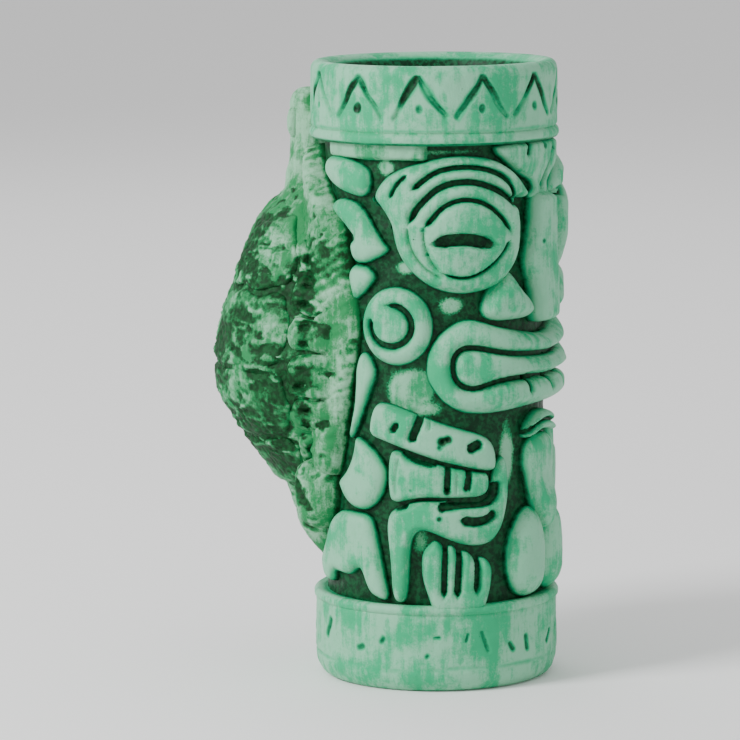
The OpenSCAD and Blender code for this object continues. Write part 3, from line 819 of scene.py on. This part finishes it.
def base_band():
    """The foot, with its bead, its line and its short strokes."""
    round_h = 7.0
    bead = 1.6
    profile = np.concatenate([
        [[WALL_R - 1, BASE_TOP - 0.6], [WALL_R - 1, 0.5], [WALL_R - 0.4, 0.05]],
        arc(WALL_R - 0.4, round_h, BASE_R - WALL_R + 0.4, round_h - 0.05, -85, 0, 12),
        np.stack([np.full(30, BASE_R), np.linspace(round_h + 0.5, BASE_TOP - 3.6, 30)], 1),
        arc(BASE_R + 0.6 - bead, BASE_TOP - bead, bead, bead, -60, 90, 9),
        [[WALL_R + 1, BASE_TOP - 0.2]],
    ])

    def shape(psi, z, r):
        xyz = on_wall(psi, z, r)
        outer = r > WALL_R + 0.2
        pick = np.where(outer)[0]
        hand = 0.3 * grain(xyz[pick], 9.0, 21.0) + 0.2 * grain(xyz[pick], 3.0, 22.0)
        signed = (psi + 180) % 360 - 180
        depth = np.zeros(len(psi))
        wash = np.where(outer, 1.0, 0.6)
        k = BASE_R * math.pi / 180
        for a0, z0, a1, z1, half in BASE_STROKES:
            d = stroke_distance(signed * k, z, np.array([a0 * k, z0]), np.array([a1 * k, z1]))
            depth = np.maximum(depth, 0.7 * dent(d, half * 0.4, half + 0.4))
            wash = np.minimum(wash, 0.26 + ramp((d - half * 0.4) / (half + 1.1)))
        line = np.abs(z - SCRATCH_Z - 0.4 * wavy(psi))
        depth = np.maximum(depth, 0.4 * dent(line, 0, 1.2))
        wash = np.where(outer, np.minimum(wash, 0.62 + 0.38 * ramp(line / 1.4)), wash)
        wash = np.where(outer & (z > BASE_TOP - 0.5) & (r < BASE_R - 1.2), 0.35, wash)
        r = r - np.where(outer, depth, 0)
        r[pick] += hand * ramp(z[pick] / 3)
        return r, wash

    lathe("base_band", profile, shape, GLAZE, turns=720)


cup_body()
rim_band()
base_band()

# ---- middle of the face


def both_sides(half):
    """Whole outline from its half on the mug's right."""
    return list(half) + [(-a, z) for a, z in reversed(half) if a > 0]


def middle_pieces():
    """The pieces on the middle of the front, from the forehead down to the belly."""
    peak = [
        (0, 167.4), (34, 167.4), (34, 164.4), (30.5, 162.8), (24, 159.4), (18, 157.2), (11.6, 155.4),
        (8, 153.6), (7.6, 152.6), (12, 151.8), (12, 149.2), (0, 148.8),
    ]
    carve("forehead_peak", both_sides(peak), lambda a, z: 36.4 + 1.2 * ramp((z - 154) / 8), edge=1.9,
          rough=0.3, dimples=[Dimple(0, 165.6, 1.8, 1.0, 0.7)], grooves=[
              Groove([(-15.4, 162.4), (-13, 168)], 0.5, 1.1, 2.0, taper=(1.5, 0)),
              Groove([(15.4, 162.4), (13, 168)], 0.5, 1.1, 2.0, taper=(1.5, 0)),
              Groove([(2, 152), (-3, 156), (-9, 162), (-14, 168)], 0.8, 1.2, 3.0, taper=(1.5, 0))])
    nose = [
        (0, 151.6), (8.5, 151.4), (10.5, 149.5), (11.3, 145), (12.6, 138), (16.5, 131.5), (15.2, 128.5),
        (12, 124), (10.6, 119), (10.6, 114.4), (8.2, 111.6), (0, 111.2),
    ]
    carve("nose", both_sides(nose),
          lambda a, z: 39.6 + 0.9 * ramp((140 - z) / 25) - 1.4 * ramp(np.abs(a) / 12 - 0.4),
          edge=2.6, dimples=[Dimple(7.2, 136.8, 0.7, 0.6, 0.8)], rough=0.3)
    tongue = [
        (0, 101.3), (16, 101.8), (26, 102.3), (35, 103.2), (44, 104.6), (50.5, 105), (54.6, 102.5),
        (55, 98.8), (53, 95.2), (48, 94.2), (44, 94.8), (39.5, 95.7), (30, 96.5), (16, 96.8), (0, 96.1),
    ]
    carve("tongue", both_sides(tongue),
          lambda a, z: 38.3 + 2.6 * ramp((46 - np.abs(a)) / 26) * (0.45 + 0.55 * ramp((102.5 - z) / 5)),
          edge=1.9)
    tooth = [(1.0, 88), (0.9, 94), (4, 95.6), (12.5, 95.4), (16.6, 94), (16.6, 88)]
    for side, word in SIDES:
        carve(f"tooth_{word}", tooth, 39.3, edge=1.5, side=side, nodes=["teeth"])
    collar = [
        (0, 84.6), (6, 84.3), (11.5, 82.4), (15.6, 79.4), (16.6, 76.2), (11.6, 76.6), (6, 77.9), (0, 78.2),
    ]
    arch = [(-16, 78), (-11, 80), (-5, 81.2), (0, 81.5), (5, 81.2), (11, 80), (16, 78)]
    carve("collar", both_sides(collar), 38.4, edge=1.7, grooves=[Groove(arch, 0.35, 1.2, 2.2, taper=0)])
    belly = [
        (0, 77.4), (10, 77), (15.6, 73.6), (16.6, 68), (12.8, 61), (9.2, 55), (6.6, 51), (3, 47.4), (0, 47),
    ]
    carve("belly", both_sides(belly), lambda a, z: 37.6 + 2.9 * ramp((66 - z) / 13), edge=4.4)


# ---- eyes

# EYE_RIM is the outline of the whole swelling. The lines are deep cuts in it and the valleys shallow ones.
# EYE_SOCKET and EYE_SPLIT divide the lids from the ring and from each other, and BLINK is the slit.
EYE_RIM = [
    (97, 151), (94, 155), (88, 158.6), (79, 161), (71, 162), (65.5, 163), (58, 164), (49, 164), (40, 163.4),
    (32, 162), (26.6, 159.8), (21, 157.2), (15, 154.2), (9.6, 151.4), (13, 149.8), (20.6, 150.4),
    (23.4, 151.2), (24.8, 149.4), (24, 146.6), (22.6, 143.4), (22.6, 139.2), (23.6, 134.4), (25.6, 130.2),
    (29.6, 126.4), (34.6, 123.8), (42, 122.6), (50.3, 121.9), (59.4, 122.5), (67.4, 124.3), (73.4, 126.8),
    (78.6, 129.9), (82.6, 133.4), (85.4, 138), (86.2, 141.4), (87.4, 144), (91.6, 147.8),
]
BROW_LINE = [
    (76, 153.6), (72.6, 155.4), (65.6, 159), (58, 160.4), (50.4, 160.7), (42.6, 160.2), (35.9, 158.9),
    (31.6, 157.2), (28.3, 155), (26.4, 151.4),
]
RING_LINE = [
    (77.2, 143), (74.4, 147), (71.9, 149.3), (68, 151.8), (64.4, 153.9), (59.4, 155.5), (53.2, 156.3),
    (46.9, 156.2), (40.5, 155), (35.2, 153.5), (31, 151.6), (27.6, 149.4),
]
RING_VALLEY = [(77.2, 143), (77.4, 141.4), (76.6, 138), (74.4, 134.6), (71.3, 131.6), (67, 129.1), (61, 127)]
LID_LINE = [
    (70, 142.4), (65.8, 145.4), (63.6, 147.4), (60, 149.4), (55.6, 150.7), (51, 151.1), (44.8, 150.5),
    (39.9, 148.8), (35.2, 146), (31.4, 142.6), (30.4, 140),
]
LID_VALLEY = [(69.6, 142.4), (70, 140), (69, 136.8), (67.8, 134.4), (65.6, 131.4), (62, 129)]
LID_UNDER = [
    (63.6, 129.6), (58.2, 127.9), (52.5, 127.1), (46.7, 127.7), (41, 129.7), (36.6, 132.3), (33.4, 135.4),
    (30.8, 138.8),
]
BLINK = [(68, 137.4), (60, 138.7), (52, 139.2), (45, 138.4), (35.6, 136.5)]
EYE_SOCKET = [
    (75, 141), (70, 144), (64, 148.4), (56, 151.2), (47, 151.4), (39, 149.2), (33, 145.2), (29.6, 141),
    (31, 136.8), (36, 131.6), (44, 127.9), (53, 126.6), (62, 128), (69, 131.6), (74, 136),
]
EYE_SPLIT = [(75, 139.4), (66, 138), (56, 138.9), (46, 138.5), (36, 136.9), (29, 138.6)]


def eye_top(a, z):
    """Height of the eye's whole swelling, furthest out beside the nose."""
    across = np.interp(a, [10, 18, 27, 55, 75, 97], [2.2, 4.6, 8.0, 7.4, 5.8, 4.0])
    up = np.interp(z, [121, 126, 136, 148, 156, 165], [0.6, 0.7, 0.95, 1.0, 0.84, 0.66])
    ball = np.clip(1 - np.hypot((a - 50) * DEG / 15, (z - 138.6) / 11.5) ** 2, 0, 1)
    return WALL_R + across * up + 1.1 * ball


def eye_edge(a, z):
    """The swelling's side is steep beside the nose and rounder towards the ear."""
    return np.interp(a, [26, 48], [2.4, 4.2])


def eye_pieces(side, word):
    """Both brows, the ring and the two lids, cut out of one swelling."""
    brows = Groove(BROW_LINE, 0.55, 1.9, 3.0, taper=(2.5, 0))
    ring = Groove(RING_LINE, 0.7, 2.1, 3.4, taper=(4, 0))
    lid = Groove(LID_LINE, 0.45, 2.0, 2.8, taper=(3, 4))
    under = Groove(LID_UNDER, 0.15, 1.9, 2.4, taper=(7, 2))
    valleys = [Groove(path, 0.1, 2.8, 1.6, taper=2, dark=0.42) for path in (RING_VALLEY, LID_VALLEY)]
    slash = Groove([(86.4, 150.6), (83, 155.6), (77, 158.8)], 0.3, 1.7, 1.7, taper=2.4, dark=0.95)
    cuts = [brows, ring, lid, under, slash] + valleys
    shared = dict(rim=EYE_RIM, side=side, edge=eye_edge, grooves=cuts)

    def piece(name, outline, **more):
        carve(f"{name}_{word}", sharp(outline), eye_top, **{**shared, **more})

    brow_low = [(96, 149.6), (86, 152)] + BROW_LINE
    piece("brow_outer", EYE_RIM[:15] + [(24, 150.6)] + brow_low[::-1])
    ring_low = [(87, 141.6), (81.6, 140), (77, 142.6)] + RING_LINE
    piece("brow_inner", brow_low + EYE_RIM[15:18] + ring_low[::-1] + EYE_RIM[34:])
    piece("eye_ring", ring_low + EYE_RIM[18:34], hole=sharp(EYE_SOCKET))
    slit = Groove(BLINK, 1.7, 1.3, 4.0, taper=5.5)
    lids = dict(grooves=[lid, under, valleys[1], slit], rough=0.1)
    pits = [Dimple(70.2, 142.2, 0.7, 0.7, 0.8), Dimple(68.2, 134.6, 0.9, 0.9, 0.6)]
    piece("upper_lid", EYE_SPLIT[::-1] + EYE_SOCKET[:8], dimples=pits[:1], **lids)
    piece("lower_lid", EYE_SPLIT + EYE_SOCKET[8:], dimples=pits[1:], **lids)


# ---- mouth, ears and cheeks

MOUTH_LINE = [
    (-3, 102.2), (8, 102.4), (16.6, 102.8), (25.6, 103.3), (34.8, 104.3), (44.2, 105.7), (51, 105.8),
    (55.4, 103.6), (56.4, 100), (55.2, 96), (51, 93.6), (45, 93.1), (39.5, 94.3), (34, 95.2), (25.6, 95.8),
    (16.6, 95.8), (8, 95.4), (-3, 95),
]


def lip_top(a, z):
    """The lips stand further out towards the middle, the lower one a little less."""
    forward = ramp((72 - a) / 50)
    return 36.9 + 3.3 * forward - 1.5 * ramp((90 - z) / 5) * forward


def mouth_pieces(side, word):
    """Half of the mouth on each side, rounded as one ring and cut at the middle of the face."""
    lips = [
        (0, 108.2), (14, 109.3), (25, 110.8), (34, 112.1), (41, 113.6), (49, 114.8), (57, 113.2),
        (64, 109.8), (69, 105), (70, 100), (69.6, 96.6), (67, 93.4), (61, 88.6), (52, 85.6), (42, 85),
        (30, 85.3), (14, 86.2), (0, 86.4),
    ]
    gap = Groove([(17, 90), (17, 92), (17, 97)], 0.55, 1.3, 2.6, taper=(2.4, 0))
    rim = both_sides(lips)

    def straight(loop, s):
        loop = loop.copy()
        loop[:, 0] = np.minimum(loop[:, 0] * s, 0) * s
        return loop

    centre = Groove([(0, 90), (0, 97)], 0.6, 1.3, 2.6, taper=(2.4, 0))
    carve(f"lip_{word}", [(a if a > 0 else -6, z) for a, z in lips], lip_top, side=side, edge=5.2, rim=rim,
          clip=straight, grooves=[Groove(MOUTH_LINE, 0.6, 3.1, 4.0, taper=0), gap, centre])


def ear_pieces(side, word):
    """The spool and its boss, which share the spiral cut."""
    at, z0 = 84.5, 112.3

    def circle(r, a):
        t = np.linspace(0, 2 * math.pi, 24, endpoint=False)
        return [(a + r * math.cos(v) / DEG, z0 + r * math.sin(v)) for v in t]

    t = np.radians(np.linspace(24, -292, 30))
    ring = [(at + 2.2 + 6.8 * math.cos(v) / DEG, z0 + 0.2 + 6.3 * math.sin(v)) for v in t]
    cuts = [Groove(ring, 0.75, 1.9, 2.6, taper=(2, 6))]
    whole, boss = circle(12.3, at), circle(6.6, at + 1.2)
    shared = dict(side=side, edge=3.8, grooves=cuts, rim=whole)
    carve(f"ear_spool_{word}", whole, 37.7, hole=boss, **shared)
    carve(f"ear_boss_{word}", boss, 37.9, dimples=[Dimple(at + 2.6, z0 + 0.8, 2.0, 0.5, 0.2)], **shared)


# Simple carvings of each side: outline, radius of the top and width of the rounded edge
PLAIN_CARVINGS = {
    "temple_block": ([
        (133, 157.5), (131.5, 162.8), (122, 163.4), (111, 162.6), (103, 161.2), (98.4, 159.4), (97.2, 155.6),
        (99, 152), (104, 150.6), (112, 151.4), (121, 152.6), (128, 154.6),
    ], 37.5, 4.6),
    "cheek_fin": ([
        (126.5, 146.6), (124, 149.8), (117, 150.5), (109, 150), (103.5, 148), (99.5, 145.4), (95.5, 141.8),
        (91, 138), (86.6, 135.6), (91, 133.4), (96, 132), (101, 130.6), (108.5, 130.6), (111.8, 134),
        (112, 137.2), (108.6, 138.4), (112, 140), (116, 142.2), (121, 144),
    ], 37.4, 4.4),
    "cheek_drop": ([
        (113.5, 127.5), (110, 130.6), (104.5, 130.8), (98.5, 129.9), (94.4, 126.8), (100, 122.8),
        (104.5, 120.6), (109.5, 119), (111.8, 123),
    ], 37.0, 4.0),
    "ear_leaf": ([
        (108.4, 99), (105.8, 103.4), (102, 104.4), (97.6, 102.4), (94.6, 97.5), (97.5, 93.3), (101.3, 87.8),
        (105.3, 81.8), (110, 76.6), (114, 76.6), (111.8, 82), (109.3, 88), (108.6, 94),
    ], 36.9, 3.2),
    "shoulder_drop": ([
        (109, 78.6), (101, 76.4), (95, 73.2), (89.8, 69.4), (88.8, 65.6), (91.6, 60.2), (96.3, 56.8),
        (102, 54.8), (108.4, 54.8), (115, 56.4), (120, 59.8), (122.5, 63.5), (116.5, 66.2), (112.3, 70.2),
        (110.3, 73.8),
    ], 37.8, 6.0),
    "thigh": ([
        (129, 50.6), (122, 54), (114, 54.6), (104, 54.5), (98, 53.4), (94.8, 47), (92.5, 40), (90.3, 34),
        (88.6, 30.2), (89.6, 27.4), (95, 27.9), (100.2, 29.6), (103, 33.2), (105.4, 36.9), (109, 36.2),
        (112, 34.2), (119, 34.1), (126.2, 34.6), (127.5, 30.6), (136, 30.6), (141, 37.6), (135.6, 42.6),
        (132, 46.6),
    ], 37.4, 3.4),
    "knee": ([
        (-1.4, 38), (-0.6, 46.5), (4.6, 53.4), (12, 56), (20, 53.6), (26.6, 46.5), (28.4, 38), (25.4, 30.4),
        (19, 27), (7, 27), (0.4, 30.8),
    ], 39.9, 9.0),
    "nostril": ([
        (42.6, 117.8), (39.2, 122.4), (33, 126.6), (29, 129.6), (24.6, 127.8), (18.6, 123), (12.6, 120),
        (10, 116.6), (13.2, 113.3), (24, 113.2), (34, 113.2), (40.4, 114.4),
    ], 40.0, 5.0),
}


def plain_pieces(side, word):
    """The pieces with no cuts in them."""
    for name, (outline, top, edge) in PLAIN_CARVINGS.items():
        carve(f"{name}_{word}", outline, top, edge=edge, side=side)


# ---- crouching figures


def figure_pieces(side, word):
    """The crouching figure: headband, face, arm and hand."""
    headband = [
        (99.4, 78.4), (98.8, 84), (95.6, 88.8), (90, 89), (80.5, 87.2), (67.5, 84.2), (53.3, 81.3),
        (42, 79.3), (36.3, 77.2), (33.6, 72.5), (34.2, 67.2), (43.6, 68.1), (53.3, 69.6), (63, 71.1),
        (72.8, 73.1), (82.5, 75.1), (91, 76.9),
    ]
    carve(f"headband_{word}", headband, 37.9, side=side, edge=2.6, grooves=[
        Groove([(86.2, 79.6), (84.4, 82), (81.5, 83.4)], 0.75, 1.3, 2.2, taper=(1.2, 2.4)),
        Groove([(76.6, 77), (75.4, 80), (73, 83), (72, 86.4)], 1.05, 1.4, 3.0, taper=(1.2, 0)),
        Groove([(50.4, 74.2), (46.9, 75.6), (41.8, 76.9)], 1.25, 1.2, 2.6, taper=1.8),
        Groove([(67.8, 80.8), (67, 84.8)], 0.2, 1.2, 0.8, taper=1.0, dark=0.4)],
        dimples=[Dimple(61.8, 77.6, 1.7, 1.8), Dimple(59.4, 78.2, 1.3, 1.5),
                 Dimple(62.9, 75.8, 1.1, 0.9, 0.7)])
    face = [
        (89, 60), (88.8, 73.8), (84, 74.8), (78, 72.9), (70, 71.3), (60, 69.7), (50, 68.5), (42, 67.5),
        (38, 67.4), (37.6, 62.2), (41.5, 59.8), (50, 59.8), (60, 59.8), (70, 60.1), (78, 59.3), (85, 58),
    ]
    carve(f"figure_face_{word}", face, 37.6, side=side, edge=2.0, grooves=[
        Groove([(59.5, 61.9), (59.4, 65.5), (58.8, 69.6)], 0.75, 1.0, 1.9, taper=(0.8, 0)),
        Groove([(50.3, 61.8), (49.4, 64.5), (48.4, 68.6)], 0.85, 1.0, 1.9, taper=(0.8, 0)),
        Groove([(55.2, 60.4), (54.6, 69)], 0.2, 0.9, 0.5, dark=0.3),
        Groove([(81, 74.6), (74, 71.6), (61.7, 70)], 1.0, 1.0, 2.2, taper=(0.5, 4)),
        Groove([(84, 60), (84.4, 66), (82, 73.4)], 0.2, 1.2, 0.6, dark=0.35)],
        dimples=[Dimple(76.6, 62.6, 0.7, 0.5, 0.6), Dimple(59.6, 62.2, 1.2, 1.9)])
    arm = [
        (33, 71.8), (28.6, 72.4), (26.6, 66), (26.6, 60), (28.6, 53.4), (31.6, 48.7), (36.8, 45.4),
        (43.6, 44.6), (51.3, 45.2), (59.2, 47), (68, 49.5), (73, 50), (76.3, 47.8), (77.7, 43), (78.1, 36),
        (79.3, 28.6), (82, 27.1), (86, 27.8), (87.6, 31.5), (88, 37), (88.7, 43), (90.3, 50.5), (88.7, 55.6),
        (82.5, 57.4), (77.5, 58.6), (72, 59.3), (66, 59.2), (58, 59.2), (48, 59.2), (40, 59.3), (36.9, 61),
        (36.6, 66),
    ]
    carve(f"figure_arm_{word}", arm, 37.7, side=side, edge=2.8, grooves=[
        Groove([(64.6, 56.9), (54.6, 57.9), (43, 58), (37.4, 58.4), (34.3, 60.7), (34.2, 65)],
               1.1, 1.4, 3.0, taper=1.6),
        Groove([(54.4, 53.6), (50, 52.8), (44.8, 52.2), (39, 53), (34.8, 55.6)],
               1.15, 1.4, 2.8, taper=(3, 1.6)),
        Groove([(86, 56.4), (81, 57.2), (77.6, 57.8)], 0.5, 1.2, 1.6, taper=1.4)],
        dimples=[Dimple(63.4, 53.9, 0.6, 0.6)])
    hand = [
        (72.4, 38), (72.2, 43), (68.4, 46), (64.6, 47.4), (60.4, 44.6), (57, 45.8), (53.4, 43.2),
        (49.4, 43.8), (45, 40.8), (40.6, 41.8), (36, 38.8), (36.4, 33), (38.6, 27.8), (41, 25), (51.3, 24.4),
        (61.1, 24.4), (66.6, 24.8), (69.4, 30), (71.6, 34),
    ]
    between_fingers = [
        Groove([(61.2, 28.6), (60.9, 36.7), (60.2, 45.6)], 0.7, 1.6, 3.2, taper=(3, 0)),
        Groove([(54.8, 28.6), (54, 36.6), (53.2, 44.4)], 0.8, 1.6, 3.2, taper=(3, 0)),
        Groove([(45.2, 29.4), (44.6, 34.6), (44.2, 41.6)], 0.8, 1.6, 3.2, taper=(3, 0)),
    ]
    carve(f"figure_hand_{word}", hand, lambda a, z: 37.7 + 0.5 * ramp((31 - z) / 5), side=side, edge=2.6,
          grooves=between_fingers)


middle_pieces()
for side, word in SIDES:
    eye_pieces(side, word)
    mouth_pieces(side, word)
    ear_pieces(side, word)
    plain_pieces(side, word)
    figure_pieces(side, word)

# ---- turtle


def turtle_shell():
    """The shell's core, which shows between the plates."""
    heights = np.concatenate([[49.2], np.linspace(51, 153, 150), [154.5]])
    turns = 420
    beta = np.repeat(np.linspace(-180, 180, turns, endpoint=False)[None], len(heights), 0).ravel()
    z = np.repeat(heights, turns)
    core = on_shell(beta, z, np.zeros(len(z)))
    lumps, shade = barnacles(core)
    xyz = on_shell(beta, z, 1.2 + lumps)
    faces = grid_faces(len(heights), turns, False)
    add_piece("turtle_shell", xyz, faces, np.clip(0.3 + 1.3 * shade, 0, 1), SHELL_GLAZE, ["turtle_shell"])


def barnacles(xyz):
    """Height and paleness of the turtle's crust: wisps lying across the shell, knots and broad patches."""
    drift = 3.0 * grain(xyz, 8.0, 41.0)
    flat = np.stack([xyz[:, 0], xyz[:, 1], 2.4 * xyz[:, 2] + 2.4 * drift], 1)
    wisps = crust(flat, 10.0, 42.0)
    knots = crust(xyz, 4.2, 43.0)
    fine = grain(xyz, 1.5, 44.0)
    broad = grain(xyz, 17.0, 45.0)
    clusters = ramp(1.6 * grain(xyz, 11.0, 46.0) + 0.4)
    height = (1.7 * (wisps - 0.5) + 1.0 * (knots - 0.5)) * (0.55 + 0.7 * clusters) + 0.3 * fine
    shade = (1.6 * (wisps - 0.5) + 0.8 * (knots - 0.45)) * (0.35 + 0.9 * clusters) + 0.25 * fine + 0.6 * broad
    return height, shade


def crusty(a, z, xyz, gap):
    """Rough top for a plate of the shell: pale crests over dark hollows, calmer on the outer skirt."""
    height, shade = barnacles(xyz)
    skirt = ramp((np.abs(a) - 106) / 8)
    cells = ramp((np.abs(a) - 90) / 4)
    height = height * (1 - 0.55 * skirt)
    return height * ramp(gap / 1.2 + 0.2), np.clip(0.38 + 0.16 * cells + 0.16 * skirt + shade, 0, 1)


def torn(outline):
    """A plate's outline with its edge broken up; neighbours are moved alike, so they still fit together."""
    path = respace(soften(sharp(outline), 3), 3.0, True)
    xyz = on_shell(path[:, 0], path[:, 1], np.zeros(len(path)))
    path[:, 0] += 3.0 * grain(xyz, 6.0, 51.0)
    path[:, 1] += 1.6 * grain(xyz, 6.0, 52.0)
    return path


def skirt_top(a, z):
    """Height of the edge plates, which swell towards the wall of the cup."""
    return 3.4 + 3.4 * ramp((np.abs(a) - 104) / 14)


def crusted(name, outline, top, **more):
    """One of the turtle's carvings, with its glaze and roughness."""
    carve(name, outline, top, **{"finish": SHELL_GLAZE, "rough": 0.4, **more})


def plate(name, outline, node, top=2.2, **more):
    """One plate of the shell, drawn as angles from straight back; top and low are heights over its core."""
    crusted(name, torn(outline), top, **{"edge": 1.8, "low": 0.2, "place": on_shell, "nodes": [node],
                                         "extra": crusty, "step": 0.65, "reach": PLATE_REACH, **more})


def between(heights):
    """Number, lower height, upper height and middle of each plate in a column."""
    return [(i, low, high, (low + high) / 2) for i, (low, high) in enumerate(zip(heights, heights[1:]))]


def shell_plates():
    """Columns of plates: the ridge down the back, then the flanks and edges on each side."""
    for i, low, high, middle in between([54, 68, 82, 111, 132, 149]):
        outline = [(-12, low), (0, low + 0.6), (12, low), (15.6, middle), (12, high - 0.6), (0, high),
                   (-12, high - 0.6), (-15.6, middle)]
        plate(f"ridge_plate_{i + 1}", outline, "shell_ridge_plates", 2.6)
    for side, word in SIDES:
        for i, low, high, middle in between([59, 75, 97, 121, 143]):
            outline = [(14, low + 1), (50, low - 1), (90, low + 1), (95, middle), (90, high), (50, high - 2),
                       (14, high), (17, middle)]
            plate(f"side_plate_{word}_{i + 1}", outline, f"shell_side_plates_{word}", side=side)
        for i, low, high, middle in between([61, 77, 88, 102, 114, 126, 140]):
            outline = [(96, low + 0.8), (108, low), (122, low + 0.4), (129, middle), (122, high - 0.4),
                       (108, high - 0.2), (96, high - 0.4), (91.5, middle)]
            pits = [
                Groove([(97 + 2 * (i % 2), middle - 3.2), (102, middle - 2.4), (106, middle - 3.6)],
                       0.6, 1.8, 1.8),
                Groove([(99, middle + 3), (103 + i % 3, middle + 2), (107, middle + 3.4)], 0.4, 1.6, 1.4),
                Groove([(114, middle + 1), (119, middle - 1), (124, middle)], 0.1, 2.2, 0.8, dark=0.7),
            ]
            plate(f"edge_plate_{word}_{i + 1}", outline, f"shell_edge_plates_{word}", skirt_top, side=side,
                  edge=3.0, grooves=pits)


# Right half of the skirt where the shell runs out onto the wall and up into the neck
SKIRT_LINE = [
    (166, 166.5), (150, 163.4), (138, 156), (125, 148), (113.4, 140), (111, 131.5), (109, 123), (107, 115),
    (105.2, 109.7), (108, 101), (110.8, 93.5), (114.6, 82.7), (117.6, 73.8), (121.8, 66), (127, 63.4),
    (138, 64), (146, 80), (155, 110), (166, 140),
]


def skirt_skin(a, z, xyz, gap):
    """Ribbed skin of the skirt: pale at the neck and low down, with a painted shadow of dark green between.
    """
    height, shade = barnacles(xyz)
    ribs = np.sin((z + 0.35 * a + 1.6 * grain(xyz, 5.0, 61.0)) * 2 * math.pi / 3.4)
    # painted shadow: a band of darkening across the skirt about 132 mm up
    shadow = np.exp(-(((z - 132) / 9) ** 2))
    lift = (0.45 * height + 0.2 * ribs) * ramp(gap / 2)
    return lift, np.clip(0.78 + 0.7 * shade + 0.12 * ribs - 0.6 * shadow, 0, 1)


def shell_skirts():
    """The skirt on each side, which lies on the wall under the edge plates."""
    for side, word in SIDES:
        crusted(f"shell_skirt_{word}", SKIRT_LINE, lambda a, z: 37.2 + 3.2 * ramp((a - 106) / 24), edge=3.4,
                side=side, nodes=[f"shell_edge_plates_{word}"], extra=skirt_skin, step=0.65, reach=2.0)


def loft(name, rings, turns=96, lumps=0.35):
    """Part of the turtle's head through rings of (height, centre x, centre y, half-width, half-depth)."""
    rings = np.array(rings, float)
    fine = np.linspace(0, len(rings) - 1, len(rings) * 10)
    z, x, y, rx, ry = (np.interp(fine, np.arange(len(rings)), rings[:, k]) for k in range(5))
    for _ in range(3):
        for values in (z, x, y, rx, ry):
            values[1:-1] = (values[:-2] + values[1:-1] * 2 + values[2:]) / 4
    a = np.linspace(0, 2 * math.pi, turns, endpoint=False)
    across = (x[:, None] + rx[:, None] * np.cos(a)).ravel()
    back = (y[:, None] + ry[:, None] * np.sin(a)).ravel()
    xyz = np.stack([across, back, np.repeat(z, turns)], 1)
    rough = grain(xyz, 6.0, 8.0) + 0.6 * grain(xyz, 2.4, 9.0)
    centre = np.stack([np.repeat(x, turns), np.repeat(y, turns), xyz[:, 2]], 1)
    xyz += (xyz - centre) * (lumps * 0.2 * rough)[:, None]
    shade = 1 + 0.6 * rough - 0.3 * ramp((154 - xyz[:, 2]) / 12)
    add_piece(name, xyz, grid_faces(len(z), turns, False), np.clip(shade, 0, 1), SHELL_GLAZE, ["turtle_head"])


def turtle_head():
    """The neck and head as one form, with an eye on each side."""
    neck = [
        (181.4, 0, 43.2, 0.6, 0.6), (181, 0, 43.2, 2.8, 2.8), (179.4, 0, 43, 5.2, 4.8),
        (176, 0, 42.8, 6.2, 6.0), (171, 0, 41.4, 6.8, 7.9), (166, 0, 41, 6.8, 7.9), (162, 0, 40.8, 7.6, 8.2),
        (156, 0, 41, 9.2, 9), (150, 0, 41.2, 10.8, 9.2), (144, 0, 41.2, 12, 10.4), (136, 0, 41, 12.6, 11),
    ]
    loft("turtle_head", neck)
    for side, word in ((-1, "right"), (1, "left")):
        eye = [(175.5, side * 4.8, 45.6, 0.3, 0.3), (174.6, side * 4.9, 45.8, 1.6, 1.5),
               (172, side * 5, 46, 2.1, 2), (168.4, side * 5, 46, 2, 1.9),
               (166.2, side * 4.8, 45.8, 1.3, 1.2), (165.4, side * 4.6, 45.5, 0.3, 0.3)]
        loft(f"turtle_eye_{word}", eye, turns=48, lumps=0.1)


def crusty_skin(a, z, xyz, gap):
    """Milder roughness of the flippers and the tail."""
    knots = crust(xyz, 4.0, 31.0)
    return 0.8 * (knots - 0.5) * ramp(gap / 2), np.clip(0.66 + 1.3 * (knots - 0.45), 0, 1)


def turtle_limbs():
    """The hind flippers and the tail, which lie on the wall below the shell."""
    flipper = [
        (124, 62), (124.8, 55.6), (128.4, 50), (134.4, 46.6), (141.6, 46), (148, 49), (152, 55.6),
        (152, 62.4), (147, 68), (138, 70), (128.4, 68),
    ]
    hollows = [Groove([(144, 63.4), (141, 58), (136, 54.4), (131.4, 52)], 1.0, 2.4, 1.6, taper=5, dark=0.95)]
    for side, word in SIDES:
        crusted(f"flipper_{word}", flipper, lambda a, z: 39.6 + 4.6 * ramp((a - 118) / 28), edge=4.4,
                side=side, nodes=["turtle_flippers"], rough=0.5, grooves=hollows, extra=crusty_skin)
    tail = [
        (180, 30), (175.6, 33), (169, 44.4), (162, 54), (162, 61), (180, 62), (198, 61), (198, 54),
        (191, 44.4), (184.4, 33),
    ]
    tail_top = ([30, 34.6, 37, 40.8, 43.2, 52, 60], [37.4, 39.8, 41.9, 44, 45, 46.2, 48])
    crusted("turtle_tail", tail, lambda a, z: np.interp(z, *tail_top), edge=3.0, extra=crusty_skin)


turtle_shell()
shell_plates()
shell_skirts()
turtle_head()
turtle_limbs()
